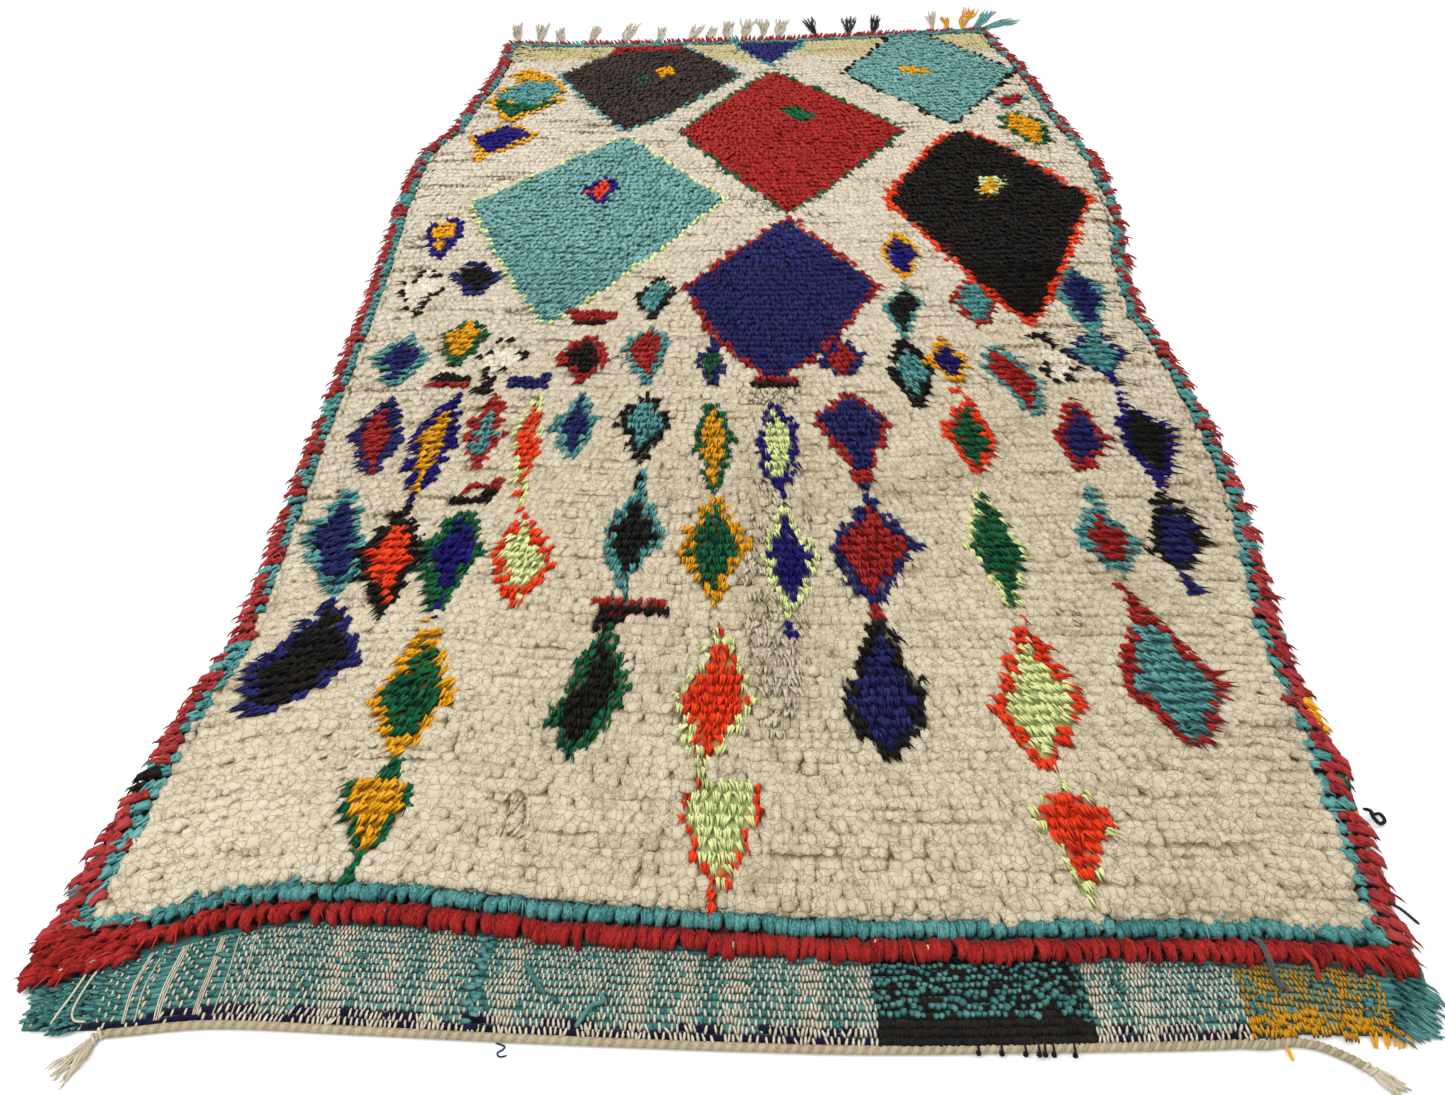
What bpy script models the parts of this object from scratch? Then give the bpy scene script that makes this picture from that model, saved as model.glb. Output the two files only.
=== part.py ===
"""A Moroccan hand-knotted shag rug, lying flat.

One woven body carries rows of knotted pile and a bare flat-woven strip along its near edge. Cords are bound
along both sides, a twisted cord lies along the near edge, and the warp ends hang out as knotted tassels at
the far end. Metres, +Z up, +Y towards the far end, origin on the floor under the middle of the rug.
"""

import math
import random

import bmesh
import bpy
from mathutils import Vector, noise

# Driving sizes, in metres. Places along the rug are measured from its near edge line.
MIDDLE = 1.32
GROUND = 0.005
PILE = 0.0205
PILE_WAVE = 0.0020
GROOVE_DEPTH = 0.0048
LUMP = 0.0030
LIP_LUMP = 0.0012
FLAT_WAVE = 0.0008
ROWS = 50
COLUMNS = 30
ROW_WANDER = 0.007
FRONT_OVERHANG = 0.008
FRONT_LIP = 0.0125
WALL_LIP = 0.0092
GAP = 0.0003

SIDE_CORD_RADIUS = 0.0040
SIDE_CORD_SIDES = 6
SIDE_CORD_STARTS = 2
END_CORD_RADIUS = 0.0044
END_CORD_WAIST = 0.0032
END_CORD_PITCH = 0.044
END_CORD_STEP = 0.0075

TASSEL_HEIGHT = 0.0080
TASSEL_NECK = 0.0085
TASSEL_KNOT_AT = 0.028
STRAND_TIP = 0.0022
STRAND_HEIGHT = 0.0042
STRAND_FILL = 0.78

LOCK_REACH = 0.018
LOCK_WAIST = 0.72
LOCK_TIP = 0.30
SIDE_LOCK_LIFT = 0.0005
FAR_LOCK_LIFT = 0.0018

LEFT = 1
RIGHT = 2

# Lines across the flat weave, as shares of its depth. The pile's lines come after these and one for its lip.
FLAT_SHARES = (0.0, 0.33, 0.66, 1.0)
PILE_STARTS = len(FLAT_SHARES) + 1

# Side edges of the ground: distance from the near edge line, left edge, right edge.
SIDE_EDGES = (
    (0.000, -0.678, 0.655),
    (0.025, -0.680, 0.664),
    (0.050, -0.683, 0.686),
    (0.080, -0.684, 0.692),
    (0.150, -0.682, 0.690),
    (0.250, -0.668, 0.699),
    (0.350, -0.655, 0.706),
    (0.500, -0.632, 0.702),
    (0.650, -0.637, 0.720),
    (0.800, -0.646, 0.738),
    (1.000, -0.655, 0.740),
    (1.150, -0.661, 0.733),
    (1.300, -0.667, 0.714),
    (1.500, -0.680, 0.735),
    (1.650, -0.694, 0.762),
    (1.850, -0.699, 0.770),
    (1.940, -0.686, 0.765),
    (2.020, -0.656, 0.750),
    (2.150, -0.642, 0.726),
    (2.300, -0.620, 0.713),
    (2.450, -0.612, 0.693),
    (2.570, -0.616, 0.664),
    (2.700, -0.622, 0.648),
)

# End lines: place across, near edge of the flat weave, front of the pile, far edge of the pile.
END_LINES = (
    (-0.690, -0.006, 0.028, 2.580),
    (-0.600, -0.003, 0.060, 2.572),
    (-0.500, 0.008, 0.092, 2.566),
    (-0.360, 0.006, 0.102, 2.572),
    (-0.200, 0.002, 0.088, 2.585),
    (0.000, -0.001, 0.077, 2.610),
    (0.150, -0.001, 0.073, 2.625),
    (0.350, 0.006, 0.078, 2.658),
    (0.500, 0.013, 0.080, 2.680),
    (0.560, 0.020, 0.080, 2.690),
    (0.620, 0.020, 0.078, 2.697),
    (0.660, 0.024, 0.074, 2.702),
    (0.700, 0.050, 0.070, 2.704),
)

# Far tassels: name, root across, tip across, tip's distance from the near edge line, brush width, strands, wool.
TASSELS = (
    ("tassel_ivory_01", -0.600, -0.632, 2.745, 0.030, 5, "ivory"),
    ("tassel_ivory_02", -0.546, -0.556, 2.750, 0.034, 5, "ivory"),
    ("tassel_ivory_03", -0.485, -0.505, 2.715, 0.026, 4, "ivory"),
    ("tassel_ivory_04", -0.408, -0.405, 2.735, 0.022, 4, "ivory"),
    ("tassel_ivory_05", -0.322, -0.305, 2.755, 0.036, 5, "ivory"),
    ("tassel_ivory_06", -0.228, -0.228, 2.735, 0.026, 4, "ivory"),
    ("tassel_ivory_07", -0.150, -0.124, 2.745, 0.032, 5, "ivory"),
    ("tassel_ivory_08", -0.100, -0.084, 2.735, 0.024, 4, "ivory"),
    ("tassel_ivory_09", -0.052, -0.046, 2.785, 0.030, 5, "ivory"),
    ("tassel_ivory_10", -0.003, 0.006, 2.805, 0.038, 5, "ivory"),
    ("tassel_ivory_11", 0.044, 0.053, 2.795, 0.032, 5, "ivory"),
    ("tassel_ivory_12", 0.088, 0.103, 2.795, 0.034, 5, "ivory"),
    ("tassel_black_01", 0.192, 0.170, 2.810, 0.030, 5, "charcoal"),
    ("tassel_black_02", 0.275, 0.290, 2.825, 0.036, 5, "charcoal"),
    ("tassel_black_03", 0.342, 0.365, 2.835, 0.030, 5, "charcoal"),
    ("tassel_ivory_13", 0.506, 0.521, 2.865, 0.026, 5, "ivory"),
    ("tassel_gold_01", 0.548, 0.556, 2.825, 0.022, 4, "gold"),
    ("tassel_gold_02", 0.588, 0.640, 2.900, 0.038, 5, "gold"),
    ("tassel_teal_01", 0.616, 0.696, 2.880, 0.032, 5, "teal"),
    ("tassel_teal_02", 0.640, 0.752, 2.806, 0.040, 5, "teal"),
)

# Loose warp ends at the near right corner: name, wall, stretch of that wall, length, wool.
WARP_ENDS = (
    ("warp_ends_gold", "near", 29, 0.014, "gold"),
    ("warp_ends_teal", "right", 0, 0.020, "teal"),
)

# Route of the twisted cord past the edge: across, distance from the near edge line.
CORD_FREE = ((0.520, 0.0075), (0.545, 0.0110), (0.570, 0.0080), (0.592, -0.0010), (0.606, -0.0090))
CORD_START = -0.594
CORD_LEAVES = 0.498
LEFT_TAIL = (-0.628, -0.052)
RIGHT_TAIL = (0.640, -0.036)

WOOLS = {
    "ivory": (0.78, 0.70, 0.57),
    "charcoal": (0.03, 0.028, 0.03),
    "gold": (0.78, 0.46, 0.03),
    "teal": (0.16, 0.42, 0.44),
}


def clear_scene():
    """Take out whatever the file opened with."""
    for thing in list(bpy.data.objects):
        bpy.data.objects.remove(thing, do_unlink=True)


def wool(name):
    """Dyed wool: matt, no metal."""
    made = bpy.data.materials.get(name)
    if made:
        return made
    made = bpy.data.materials.new(name)
    made.use_nodes = True
    shader = made.node_tree.nodes["Principled BSDF"]
    shader.inputs["Base Color"].default_value = (*WOOLS[name], 1.0)
    shader.inputs["Roughness"].default_value = 0.9
    shader.inputs["Metallic"].default_value = 0.0
    return made


def add_piece(name, shape, wool_name):
    """Turn a finished bmesh into a named object."""
    bmesh.ops.recalc_face_normals(shape, faces=shape.faces[:])
    mesh = bpy.data.meshes.new(name)
    shape.to_mesh(mesh)
    shape.free()
    piece = bpy.data.objects.new(name, mesh)
    piece.data.materials.append(wool(wool_name))
    bpy.context.scene.collection.objects.link(piece)
    return piece


def read(table, place, column):
    """A table's value at a place, on a smooth curve through its rows."""
    last = len(table) - 1
    place = min(max(place, table[0][0]), table[last][0])
    i = next(k for k in range(last) if place <= table[k + 1][0])
    low, high = table[i], table[i + 1]
    before, after = table[max(i - 1, 0)], table[min(i + 2, last)]
    span = high[0] - low[0]
    t = (place - low[0]) / span
    leave = (high[column] - before[column]) / (high[0] - before[0]) * span
    reach = (after[column] - low[column]) / (after[0] - low[0]) * span
    step = high[column] - low[column]
    bend = 3 * step - 2 * leave - reach
    turn = leave + reach - 2 * step
    return low[column] + leave * t + bend * t ** 2 + turn * t ** 3


def span_lines():
    """The lines that run across the rug: zone, share of the zone, height rule."""
    lines = [("flat", share, "flat") for share in FLAT_SHARES]
    lines.append(("lip", 0.0, "lip"))
    steps = 2 * ROWS
    for k in range(steps + 1):
        lines.append(("pile", k / steps, "crest" if k % 2 == 0 else "groove"))
    return lines


def line_up(zone, share, across):
    """Distance from the near edge line of a point on one of those lines."""
    near = read(END_LINES, across, 1)
    front = read(END_LINES, across, 2)
    far = read(END_LINES, across, 3)
    if zone == "flat":
        return near + share * (front + FRONT_OVERHANG - near)
    if zone == "lip":
        return front
    start = front + FRONT_OVERHANG
    return start + share * (far - start)


def edge_pair(zone, share):
    """Left and right end of a line, as (across, up) points that lie on the side edges."""
    ends = []
    for side in (LEFT, RIGHT):
        across = read(SIDE_EDGES, 1.0, side)
        for _ in range(6):
            across = read(SIDE_EDGES, line_up(zone, share, across), side)
        ends.append(Vector((across, line_up(zone, share, across))))
    return ends


def body_grid():
    """Points of the body's top, line by line from the near edge, and each line's kind."""
    lines = span_lines()
    ends = [edge_pair(zone, share) for zone, share, kind in lines]
    straightened = list(ends)
    for i in range(PILE_STARTS + 1, len(lines) - 1, 2):
        straightened[i] = [(ends[i - 1][s] + ends[i + 1][s]) / 2 for s in (0, 1)]
    chance = random.Random(11)
    grid = []
    for j, (zone, share, kind) in enumerate(lines):
        left, right = straightened[j]
        row = []
        for c in range(COLUMNS + 1):
            inner_across = 0 < c < COLUMNS
            part = c / COLUMNS
            if inner_across and zone == "pile" and 0 < share < 1:
                part += chance.uniform(-0.25, 0.25) / COLUMNS
            across = left.x + part * (right.x - left.x)
            up = line_up(zone, share, across)
            up += (1 - part) * (left.y - line_up(zone, share, left.x))
            up += part * (right.y - line_up(zone, share, right.x))
            if inner_across and zone == "pile" and 0 < share < 1:
                up += ROW_WANDER * noise.noise(Vector((across * 7.0, up * 9.0, 4.0)))
            lump = (1 if (c + j // 2) % 2 else -1) * 0.5 + chance.uniform(-0.5, 0.5)
            row.append(Vector((across, up - MIDDLE, top_height(kind, across, up, lump))))
        grid.append(row)
    return grid, lines


def top_height(kind, across, up, lump):
    """Height of the rug at a point: thin on the flat weave, lumpy rows on the pile. lump is from -1 to 1."""
    if kind == "flat":
        return GROUND + FLAT_WAVE * noise.noise(Vector((across * 24.0, up * 9.0, 0.0)))
    if kind == "lip":
        return FRONT_LIP + LIP_LUMP * lump
    swell = PILE_WAVE * noise.noise(Vector((across * 4.5, up * 4.5, 2.0)))
    if kind == "groove":
        return PILE + swell - GROOVE_DEPTH + LIP_LUMP * lump
    return PILE + swell + LUMP * lump


def rug_body():
    """The woven body: lumpy pile, thin flat-woven end, flat underside, pointed locks at its rim."""
    grid, lines = body_grid()
    shape = bmesh.new()
    top = [[shape.verts.new(point) for point in row] for row in grid]
    for j in range(len(top) - 1):
        for c in range(COLUMNS):
            shape.faces.new((top[j][c], top[j][c + 1], top[j + 1][c + 1], top[j + 1][c]))
    last = len(top) - 1
    rim = [(0, c) for c in range(COLUMNS + 1)]
    rim += [(j, COLUMNS) for j in range(1, last + 1)]
    rim += [(last, c) for c in range(COLUMNS - 1, -1, -1)]
    rim += [(j, 0) for j in range(last - 1, 0, -1)]
    waist, foot = {}, {}
    for j, c in rim:
        point = top[j][c].co
        waist_height = WALL_LIP if j >= len(FLAT_SHARES) else point.z / 2
        waist[j, c] = shape.verts.new((point.x, point.y, waist_height))
        foot[j, c] = shape.verts.new((point.x, point.y, 0.0))
    lock_roots = []
    for here, there in zip(rim, rim[1:] + rim[:1]):
        upper = shape.faces.new((top[here[0]][here[1]], top[there[0]][there[1]], waist[there], waist[here]))
        shape.faces.new((waist[here], waist[there], foot[there], foot[here]))
        line = min(here[0], there[0])
        on_side = here[1] == there[1]
        if line >= PILE_STARTS and (not on_side or line % 2 == 0):
            lock_roots.append((upper, on_side))
    for j in range(1, last - 1):
        shape.faces.new((foot[j, 0], foot[j + 1, 0], foot[j + 1, COLUMNS], foot[j, COLUMNS]))
    near_cap = [foot[0, c] for c in range(COLUMNS + 1)] + [foot[1, COLUMNS], foot[1, 0]]
    far_cap = [foot[last, c] for c in range(COLUMNS + 1)] + [foot[last - 1, COLUMNS], foot[last - 1, 0]]
    shape.faces.new(near_cap)
    shape.faces.new(far_cap)
    bmesh.ops.recalc_face_normals(shape, faces=shape.faces[:])
    grow_locks(shape, lock_roots)
    return add_piece("rug_body", shape, "ivory")


def grow_locks(shape, roots):
    """Draw each rim face out into one pointed, four-sided lock of wool."""
    chance = random.Random(5)
    for face, on_side in roots:
        outward = face.normal.copy()
        outward.z = 0.0
        outward.normalize()
        along = Vector((-outward.y, outward.x, 0.0))
        reach = LOCK_REACH * chance.uniform(0.65, 1.35)
        sway = along * reach * chance.uniform(-0.35, 0.35)
        lift = SIDE_LOCK_LIFT if on_side else FAR_LOCK_LIFT
        for size in (LOCK_WAIST, LOCK_TIP):
            drawn = bmesh.ops.extrude_discrete_faces(shape, faces=[face])
            face = drawn["faces"][0]
            centre = face.calc_center_median()
            for corner in face.verts:
                corner.co = centre + (corner.co - centre) * size
                corner.co += (outward * reach + sway) / 2
                corner.co.z += lift


def wall_points(which):
    """The foot of one wall of the body, as floor points: 'near', 'far', 'left' or 'right'."""
    grid, lines = body_grid()
    rows = {
        "near": grid[0],
        "far": grid[-1],
        "left": [row[0] for row in grid],
        "right": [row[-1] for row in grid],
    }
    return [Vector((point.x, point.y, 0.0)) for point in rows[which]]


def offset_line(points, away, outward_hint):
    """A line that runs beside the given one at a set distance, mitred at its points."""
    moved = []
    for i, point in enumerate(points):
        sides = []
        for a, b in ((i - 1, i), (i, i + 1)):
            if 0 <= a and b < len(points):
                run = (points[b] - points[a]).normalized()
                side = Vector((run.y, -run.x, 0.0))
                sides.append(side if side.dot(outward_hint) > 0 else -side)
        middle = sum(sides, Vector()).normalized()
        moved.append(point + middle * (away / middle.dot(sides[0])))
    return moved


def walk(points, step):
    """Points at even steps along a line, its two ends included."""
    lengths = [(b - a).length for a, b in zip(points, points[1:])]
    total = sum(lengths)
    count = max(2, round(total / step))
    found = []
    for k in range(count + 1):
        rest = total * k / count
        i = 0
        while i < len(lengths) - 1 and rest > lengths[i]:
            rest -= lengths[i]
            i += 1
        found.append(points[i].lerp(points[i + 1], min(1.0, rest / lengths[i])))
    return found


def sweep(path, ring_at, wool_name, name):
    """A closed tube along a path on the floor; ring_at gives its section as (side, height) pairs."""
    shape = bmesh.new()
    rings = []
    for i, point in enumerate(path):
        run = (path[min(i + 1, len(path) - 1)] - path[max(i - 1, 0)]).normalized()
        side = Vector((run.y, -run.x, 0.0))
        rings.append([shape.verts.new(point + side * a + Vector((0, 0, h))) for a, h in ring_at(i)])
    for one, two in zip(rings, rings[1:]):
        for k in range(len(one)):
            n = (k + 1) % len(one)
            shape.faces.new((one[k], one[n], two[n], two[k]))
    shape.faces.new(rings[0])
    shape.faces.new(rings[-1])
    return add_piece(name, shape, wool_name)


def side_cord(which, outward):
    """One overcast cord along a side, lying against the ground's edge."""
    wall = wall_points(which)
    kept = wall[SIDE_CORD_STARTS:PILE_STARTS] + wall[PILE_STARTS::2]
    path = offset_line(kept, SIDE_CORD_RADIUS + GAP, outward)
    path[0] = path[0].lerp(path[1], 0.3)
    path[-1] = path[-1].lerp(path[-2], 0.3)
    radius = SIDE_CORD_RADIUS
    section = []
    for k in range(SIDE_CORD_SIDES):
        angle = 2 * math.pi * k / SIDE_CORD_SIDES
        section.append((radius * math.cos(angle), radius + radius * math.sin(angle)))
    return sweep(path, lambda i: section, "teal", "side_cord_" + which)


def end_cord():
    """The two-ply cord that lies along the near edge and runs on as a loose rope."""
    wall = wall_points("near")
    beside = offset_line(wall, END_CORD_RADIUS + GAP, Vector((0, -1, 0)))
    kept = [p for p in beside if CORD_START < p.x < CORD_LEAVES]
    start = point_at(beside, CORD_START)
    leave = point_at(beside, CORD_LEAVES)
    free = [Vector((across, up - MIDDLE, 0.0)) for across, up in CORD_FREE]
    path = walk([start] + kept + [leave] + free, END_CORD_STEP)

    def ring_at(i):
        turn = 2 * math.pi * i * END_CORD_STEP / END_CORD_PITCH
        section = []
        for k in range(6):
            angle = math.pi / 3 * k
            radius = END_CORD_RADIUS if k % 3 == 0 else END_CORD_WAIST
            section.append((radius * math.cos(angle + turn), END_CORD_RADIUS + radius * math.sin(angle + turn)))
        return section

    made = sweep(path, ring_at, "ivory", "end_cord")
    return made, path


def point_at(line, across):
    """The point of a line that has this place across."""
    for a, b in zip(line, line[1:]):
        if a.x <= across <= b.x:
            return a.lerp(b, (across - a.x) / (b.x - a.x))
    return line[-1].copy()


def box_ring(shape, centre, side, width, height, parts):
    """A flat-bottomed ring across a bundle: pairs of low corners, then the same pairs above them."""
    lows, highs = [], []
    for share in parts:
        at = centre + side * (width * share)
        lows.append(shape.verts.new(at))
        highs.append(shape.verts.new(at + Vector((0, 0, height))))
    return lows, highs


def join_rings(shape, one, two):
    """Faces between a ring of four corners and the next ring, which may have more. Top and bottom are joined
    from the middle outwards, each corner of the first ring to its own half of the second."""
    for i in (0, 1):
        near, far = one[i], two[i]
        middle = len(far) // 2
        for k in range(len(far) - 1):
            corner = near[0] if k < middle else near[1]
            shape.faces.new((corner, far[k], far[k + 1]))
        shape.faces.new((near[0], near[1], far[middle]))
    for side in (0, -1):
        shape.faces.new((one[0][side], two[0][side], two[1][side], one[1][side]))


def brush(name, root, root_way, root_width, tip, width, strands, wool_name):
    """Wool ends knotted together: a tied neck on the floor, then flat separate strands that fan out from it."""
    chance = random.Random(name)
    shape = bmesh.new()
    reach = (tip - root).length
    way = (tip - root).normalized()
    side = Vector((way.y, -way.x, 0.0))
    root_side = Vector((root_way.y, -root_way.x, 0.0))
    knot = min(TASSEL_KNOT_AT, reach * 0.3)
    bend = root + root_way * knot * 0.6 + way * knot * 0.4
    split = bend + way * reach * 0.16
    fan_width = max(width * 0.62, root_width)
    half = (-0.5, 0.5)
    cuts = []
    for k in range(strands):
        middle = (k + 0.5) / strands - 0.5
        cuts += [middle - STRAND_FILL / strands / 2, middle + STRAND_FILL / strands / 2]
    start = box_ring(shape, root, root_side, root_width, TASSEL_HEIGHT, half)
    neck = box_ring(shape, bend, (side + root_side).normalized(), root_width * 1.2, TASSEL_HEIGHT * 1.1, half)
    fan = box_ring(shape, split, side, fan_width, STRAND_HEIGHT * 1.5, cuts)
    shape.faces.new((start[0][0], start[0][1], start[1][1], start[1][0]))
    for one, two in ((start, neck), (neck, fan)):
        join_rings(shape, one, two)
    lows, highs = fan
    for k in range(1, len(lows) - 1, 2):
        shape.faces.new((lows[k], lows[k + 1], highs[k + 1], highs[k]))
    belly_width = fan_width * 0.45 + width * 0.55
    for k in range(strands):
        middle = (k + 0.5) / strands - 0.5
        end = tip + side * width * middle - way * reach * chance.uniform(0.0, 0.14)
        belly = split.lerp(tip, 0.5) + side * belly_width * (middle + chance.uniform(-0.08, 0.08) / strands)
        broad = belly_width * STRAND_FILL / strands
        before = (lows[2 * k], lows[2 * k + 1], highs[2 * k + 1], highs[2 * k])
        for centre, size, height in ((belly, broad * 0.92, STRAND_HEIGHT), (end, STRAND_TIP, STRAND_TIP)):
            ring = box_ring(shape, centre, side, size, height, half)
            now = (ring[0][0], ring[0][1], ring[1][1], ring[1][0])
            for a in range(4):
                b = (a + 1) % 4
                shape.faces.new((before[a], before[b], now[b], now[a]))
            before = now
        shape.faces.new(before)
    return add_piece(name, shape, wool_name)


def far_tassels():
    """The knotted warp ends along the far edge."""
    wall = wall_points("far")
    for name, root_across, tip_across, tip_up, width, strands, wool_name in TASSELS:
        i = next(k for k in range(len(wall) - 1) if wall[k].x <= root_across <= wall[k + 1].x)
        run = (wall[i + 1] - wall[i]).normalized()
        out = Vector((-run.y, run.x, 0.0))
        clear = TASSEL_NECK * 0.6
        across = min(max(root_across, wall[i].x + clear), wall[i + 1].x - clear)
        on_wall = wall[i].lerp(wall[i + 1], (across - wall[i].x) / (wall[i + 1].x - wall[i].x))
        tip = Vector((tip_across, tip_up - MIDDLE, 0.0))
        brush(name, on_wall + out * GAP, out, TASSEL_NECK, tip, width, strands, wool_name)


def near_ends():
    """Loose warp ends at the near right corner, each bunch on one straight stretch of the edge."""
    for name, which, i, length, wool_name in WARP_ENDS:
        wall = wall_points(which)
        a, b = wall[i], wall[i + 1]
        run = (b - a).normalized()
        out = Vector((run.y, -run.x, 0.0))
        root = a.lerp(b, 0.5) + out * GAP
        width = (b - a).length * 0.8
        brush(name, root, out, width, root + out * length, width * 1.02, 6, wool_name)


def cord_tassels(path):
    """The two untwisted, tied-off ends of the near cord."""
    left_way = (path[0] - path[1]).normalized()
    right_way = (path[-1] - path[-2]).normalized()
    left_tip = Vector((LEFT_TAIL[0], LEFT_TAIL[1] - MIDDLE, 0.0))
    right_tip = Vector((RIGHT_TAIL[0], RIGHT_TAIL[1] - MIDDLE, 0.0))
    brush("cord_tassel_left", path[0] + left_way * GAP, left_way, 0.008, left_tip, 0.026, 5, "ivory")
    brush("cord_tassel_right", path[-1] + right_way * GAP, right_way, 0.008, right_tip, 0.020, 4, "ivory")


def build():
    """Make every piece of the rug."""
    clear_scene()
    rug_body()
    side_cord("left", Vector((-1, 0, 0)))
    side_cord("right", Vector((1, 0, 0)))
    made, path = end_cord()
    cord_tassels(path)
    near_ends()
    far_tassels()


build()
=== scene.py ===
"""Looks of a hand-knotted shag rug: every knot of its pile, its flat-woven end, cords and tassels.

Metres, +Z up, +Y towards the far end, origin on the floor under the middle of the rug. The chart of the
pattern is in millimetres across the rug and up from its near edge line, as a weaver would count it.
"""

import math
import random
from collections import defaultdict

import bpy
import numpy as np
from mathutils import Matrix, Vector, noise


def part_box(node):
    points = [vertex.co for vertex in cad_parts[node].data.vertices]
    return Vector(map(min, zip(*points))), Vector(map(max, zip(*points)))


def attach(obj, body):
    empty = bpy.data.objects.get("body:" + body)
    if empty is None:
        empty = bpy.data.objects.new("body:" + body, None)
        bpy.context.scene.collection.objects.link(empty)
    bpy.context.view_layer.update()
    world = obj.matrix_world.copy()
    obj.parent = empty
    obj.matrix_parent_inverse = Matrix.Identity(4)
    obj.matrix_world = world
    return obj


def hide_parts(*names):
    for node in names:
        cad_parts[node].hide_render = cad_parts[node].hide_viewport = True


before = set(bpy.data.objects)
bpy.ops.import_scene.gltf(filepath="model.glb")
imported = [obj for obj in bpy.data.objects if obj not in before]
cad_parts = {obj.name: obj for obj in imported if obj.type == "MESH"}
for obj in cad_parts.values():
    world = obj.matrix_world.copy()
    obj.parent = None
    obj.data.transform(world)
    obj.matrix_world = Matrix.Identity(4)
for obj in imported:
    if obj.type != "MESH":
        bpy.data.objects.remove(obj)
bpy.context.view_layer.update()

# Sizes shared with the CAD part
MIDDLE = 1.32
PILE_WAVE = 0.0020
END_CORD_RADIUS = 0.0044
SIDE_CORD_RADIUS = 0.0040
GAP = 0.0003
TASSEL_KNOT_AT = 0.028

# Side edges of the ground: distance from the near edge line, left edge, right edge
SIDE_EDGES = (
    (0.000, -0.678, 0.655),
    (0.025, -0.680, 0.664),
    (0.050, -0.683, 0.686),
    (0.080, -0.684, 0.692),
    (0.150, -0.682, 0.690),
    (0.250, -0.668, 0.699),
    (0.350, -0.655, 0.706),
    (0.500, -0.632, 0.702),
    (0.650, -0.637, 0.720),
    (0.800, -0.646, 0.738),
    (1.000, -0.655, 0.740),
    (1.150, -0.661, 0.733),
    (1.300, -0.667, 0.714),
    (1.500, -0.680, 0.735),
    (1.650, -0.694, 0.762),
    (1.850, -0.699, 0.770),
    (1.940, -0.686, 0.765),
    (2.020, -0.656, 0.750),
    (2.150, -0.642, 0.726),
    (2.300, -0.620, 0.713),
    (2.450, -0.612, 0.693),
    (2.570, -0.616, 0.664),
    (2.700, -0.622, 0.648),
)

# End lines: place across, near edge of the flat weave, front of the pile, far edge of the pile
END_LINES = (
    (-0.690, -0.006, 0.028, 2.580),
    (-0.600, -0.003, 0.060, 2.572),
    (-0.500, 0.008, 0.092, 2.566),
    (-0.360, 0.006, 0.102, 2.572),
    (-0.200, 0.002, 0.088, 2.585),
    (0.000, -0.001, 0.077, 2.610),
    (0.150, -0.001, 0.073, 2.625),
    (0.350, 0.006, 0.078, 2.658),
    (0.500, 0.013, 0.080, 2.680),
    (0.560, 0.020, 0.080, 2.690),
    (0.620, 0.020, 0.078, 2.697),
    (0.660, 0.024, 0.074, 2.702),
    (0.700, 0.050, 0.070, 2.704),
)

# Far tassels: name, root across, tip across, tip up, brush width, wool
TASSELS = (
    ("tassel_ivory_01", -0.600, -0.632, 2.745, 0.030, "ivory"),
    ("tassel_ivory_02", -0.546, -0.556, 2.750, 0.034, "ivory"),
    ("tassel_ivory_03", -0.485, -0.505, 2.715, 0.026, "ivory"),
    ("tassel_ivory_04", -0.408, -0.405, 2.735, 0.022, "ivory"),
    ("tassel_ivory_05", -0.322, -0.305, 2.755, 0.036, "ivory"),
    ("tassel_ivory_06", -0.228, -0.228, 2.735, 0.026, "ivory"),
    ("tassel_ivory_07", -0.150, -0.124, 2.745, 0.032, "ivory"),
    ("tassel_ivory_08", -0.100, -0.084, 2.735, 0.024, "ivory"),
    ("tassel_ivory_09", -0.052, -0.046, 2.785, 0.030, "ivory"),
    ("tassel_ivory_10", -0.003, 0.006, 2.805, 0.038, "ivory"),
    ("tassel_ivory_11", 0.044, 0.053, 2.795, 0.032, "ivory"),
    ("tassel_ivory_12", 0.088, 0.103, 2.795, 0.034, "ivory"),
    ("tassel_black_01", 0.192, 0.170, 2.810, 0.030, "black"),
    ("tassel_black_02", 0.275, 0.290, 2.825, 0.036, "black"),
    ("tassel_black_03", 0.342, 0.365, 2.835, 0.030, "black"),
    ("tassel_ivory_13", 0.506, 0.521, 2.865, 0.026, "ivory"),
    ("tassel_gold_01", 0.548, 0.556, 2.825, 0.022, "gold"),
    ("tassel_gold_02", 0.588, 0.640, 2.900, 0.038, "gold"),
    ("tassel_teal_01", 0.616, 0.696, 2.880, 0.032, "teal"),
    ("tassel_teal_02", 0.640, 0.752, 2.806, 0.040, "teal"),
)

# Route of the twisted cord past the edge, and where its two brushed-out ends reach
CORD_FREE = ((0.520, 0.0075), (0.545, 0.0110), (0.570, 0.0080), (0.592, -0.0010), (0.606, -0.0090))
CORD_START = -0.594
CORD_LEAVES = 0.498
LEFT_TAIL = (-0.628, -0.052)
RIGHT_TAIL = (0.640, -0.036)

# One full turn of its plies
END_CORD_TURN = 0.0105

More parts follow.
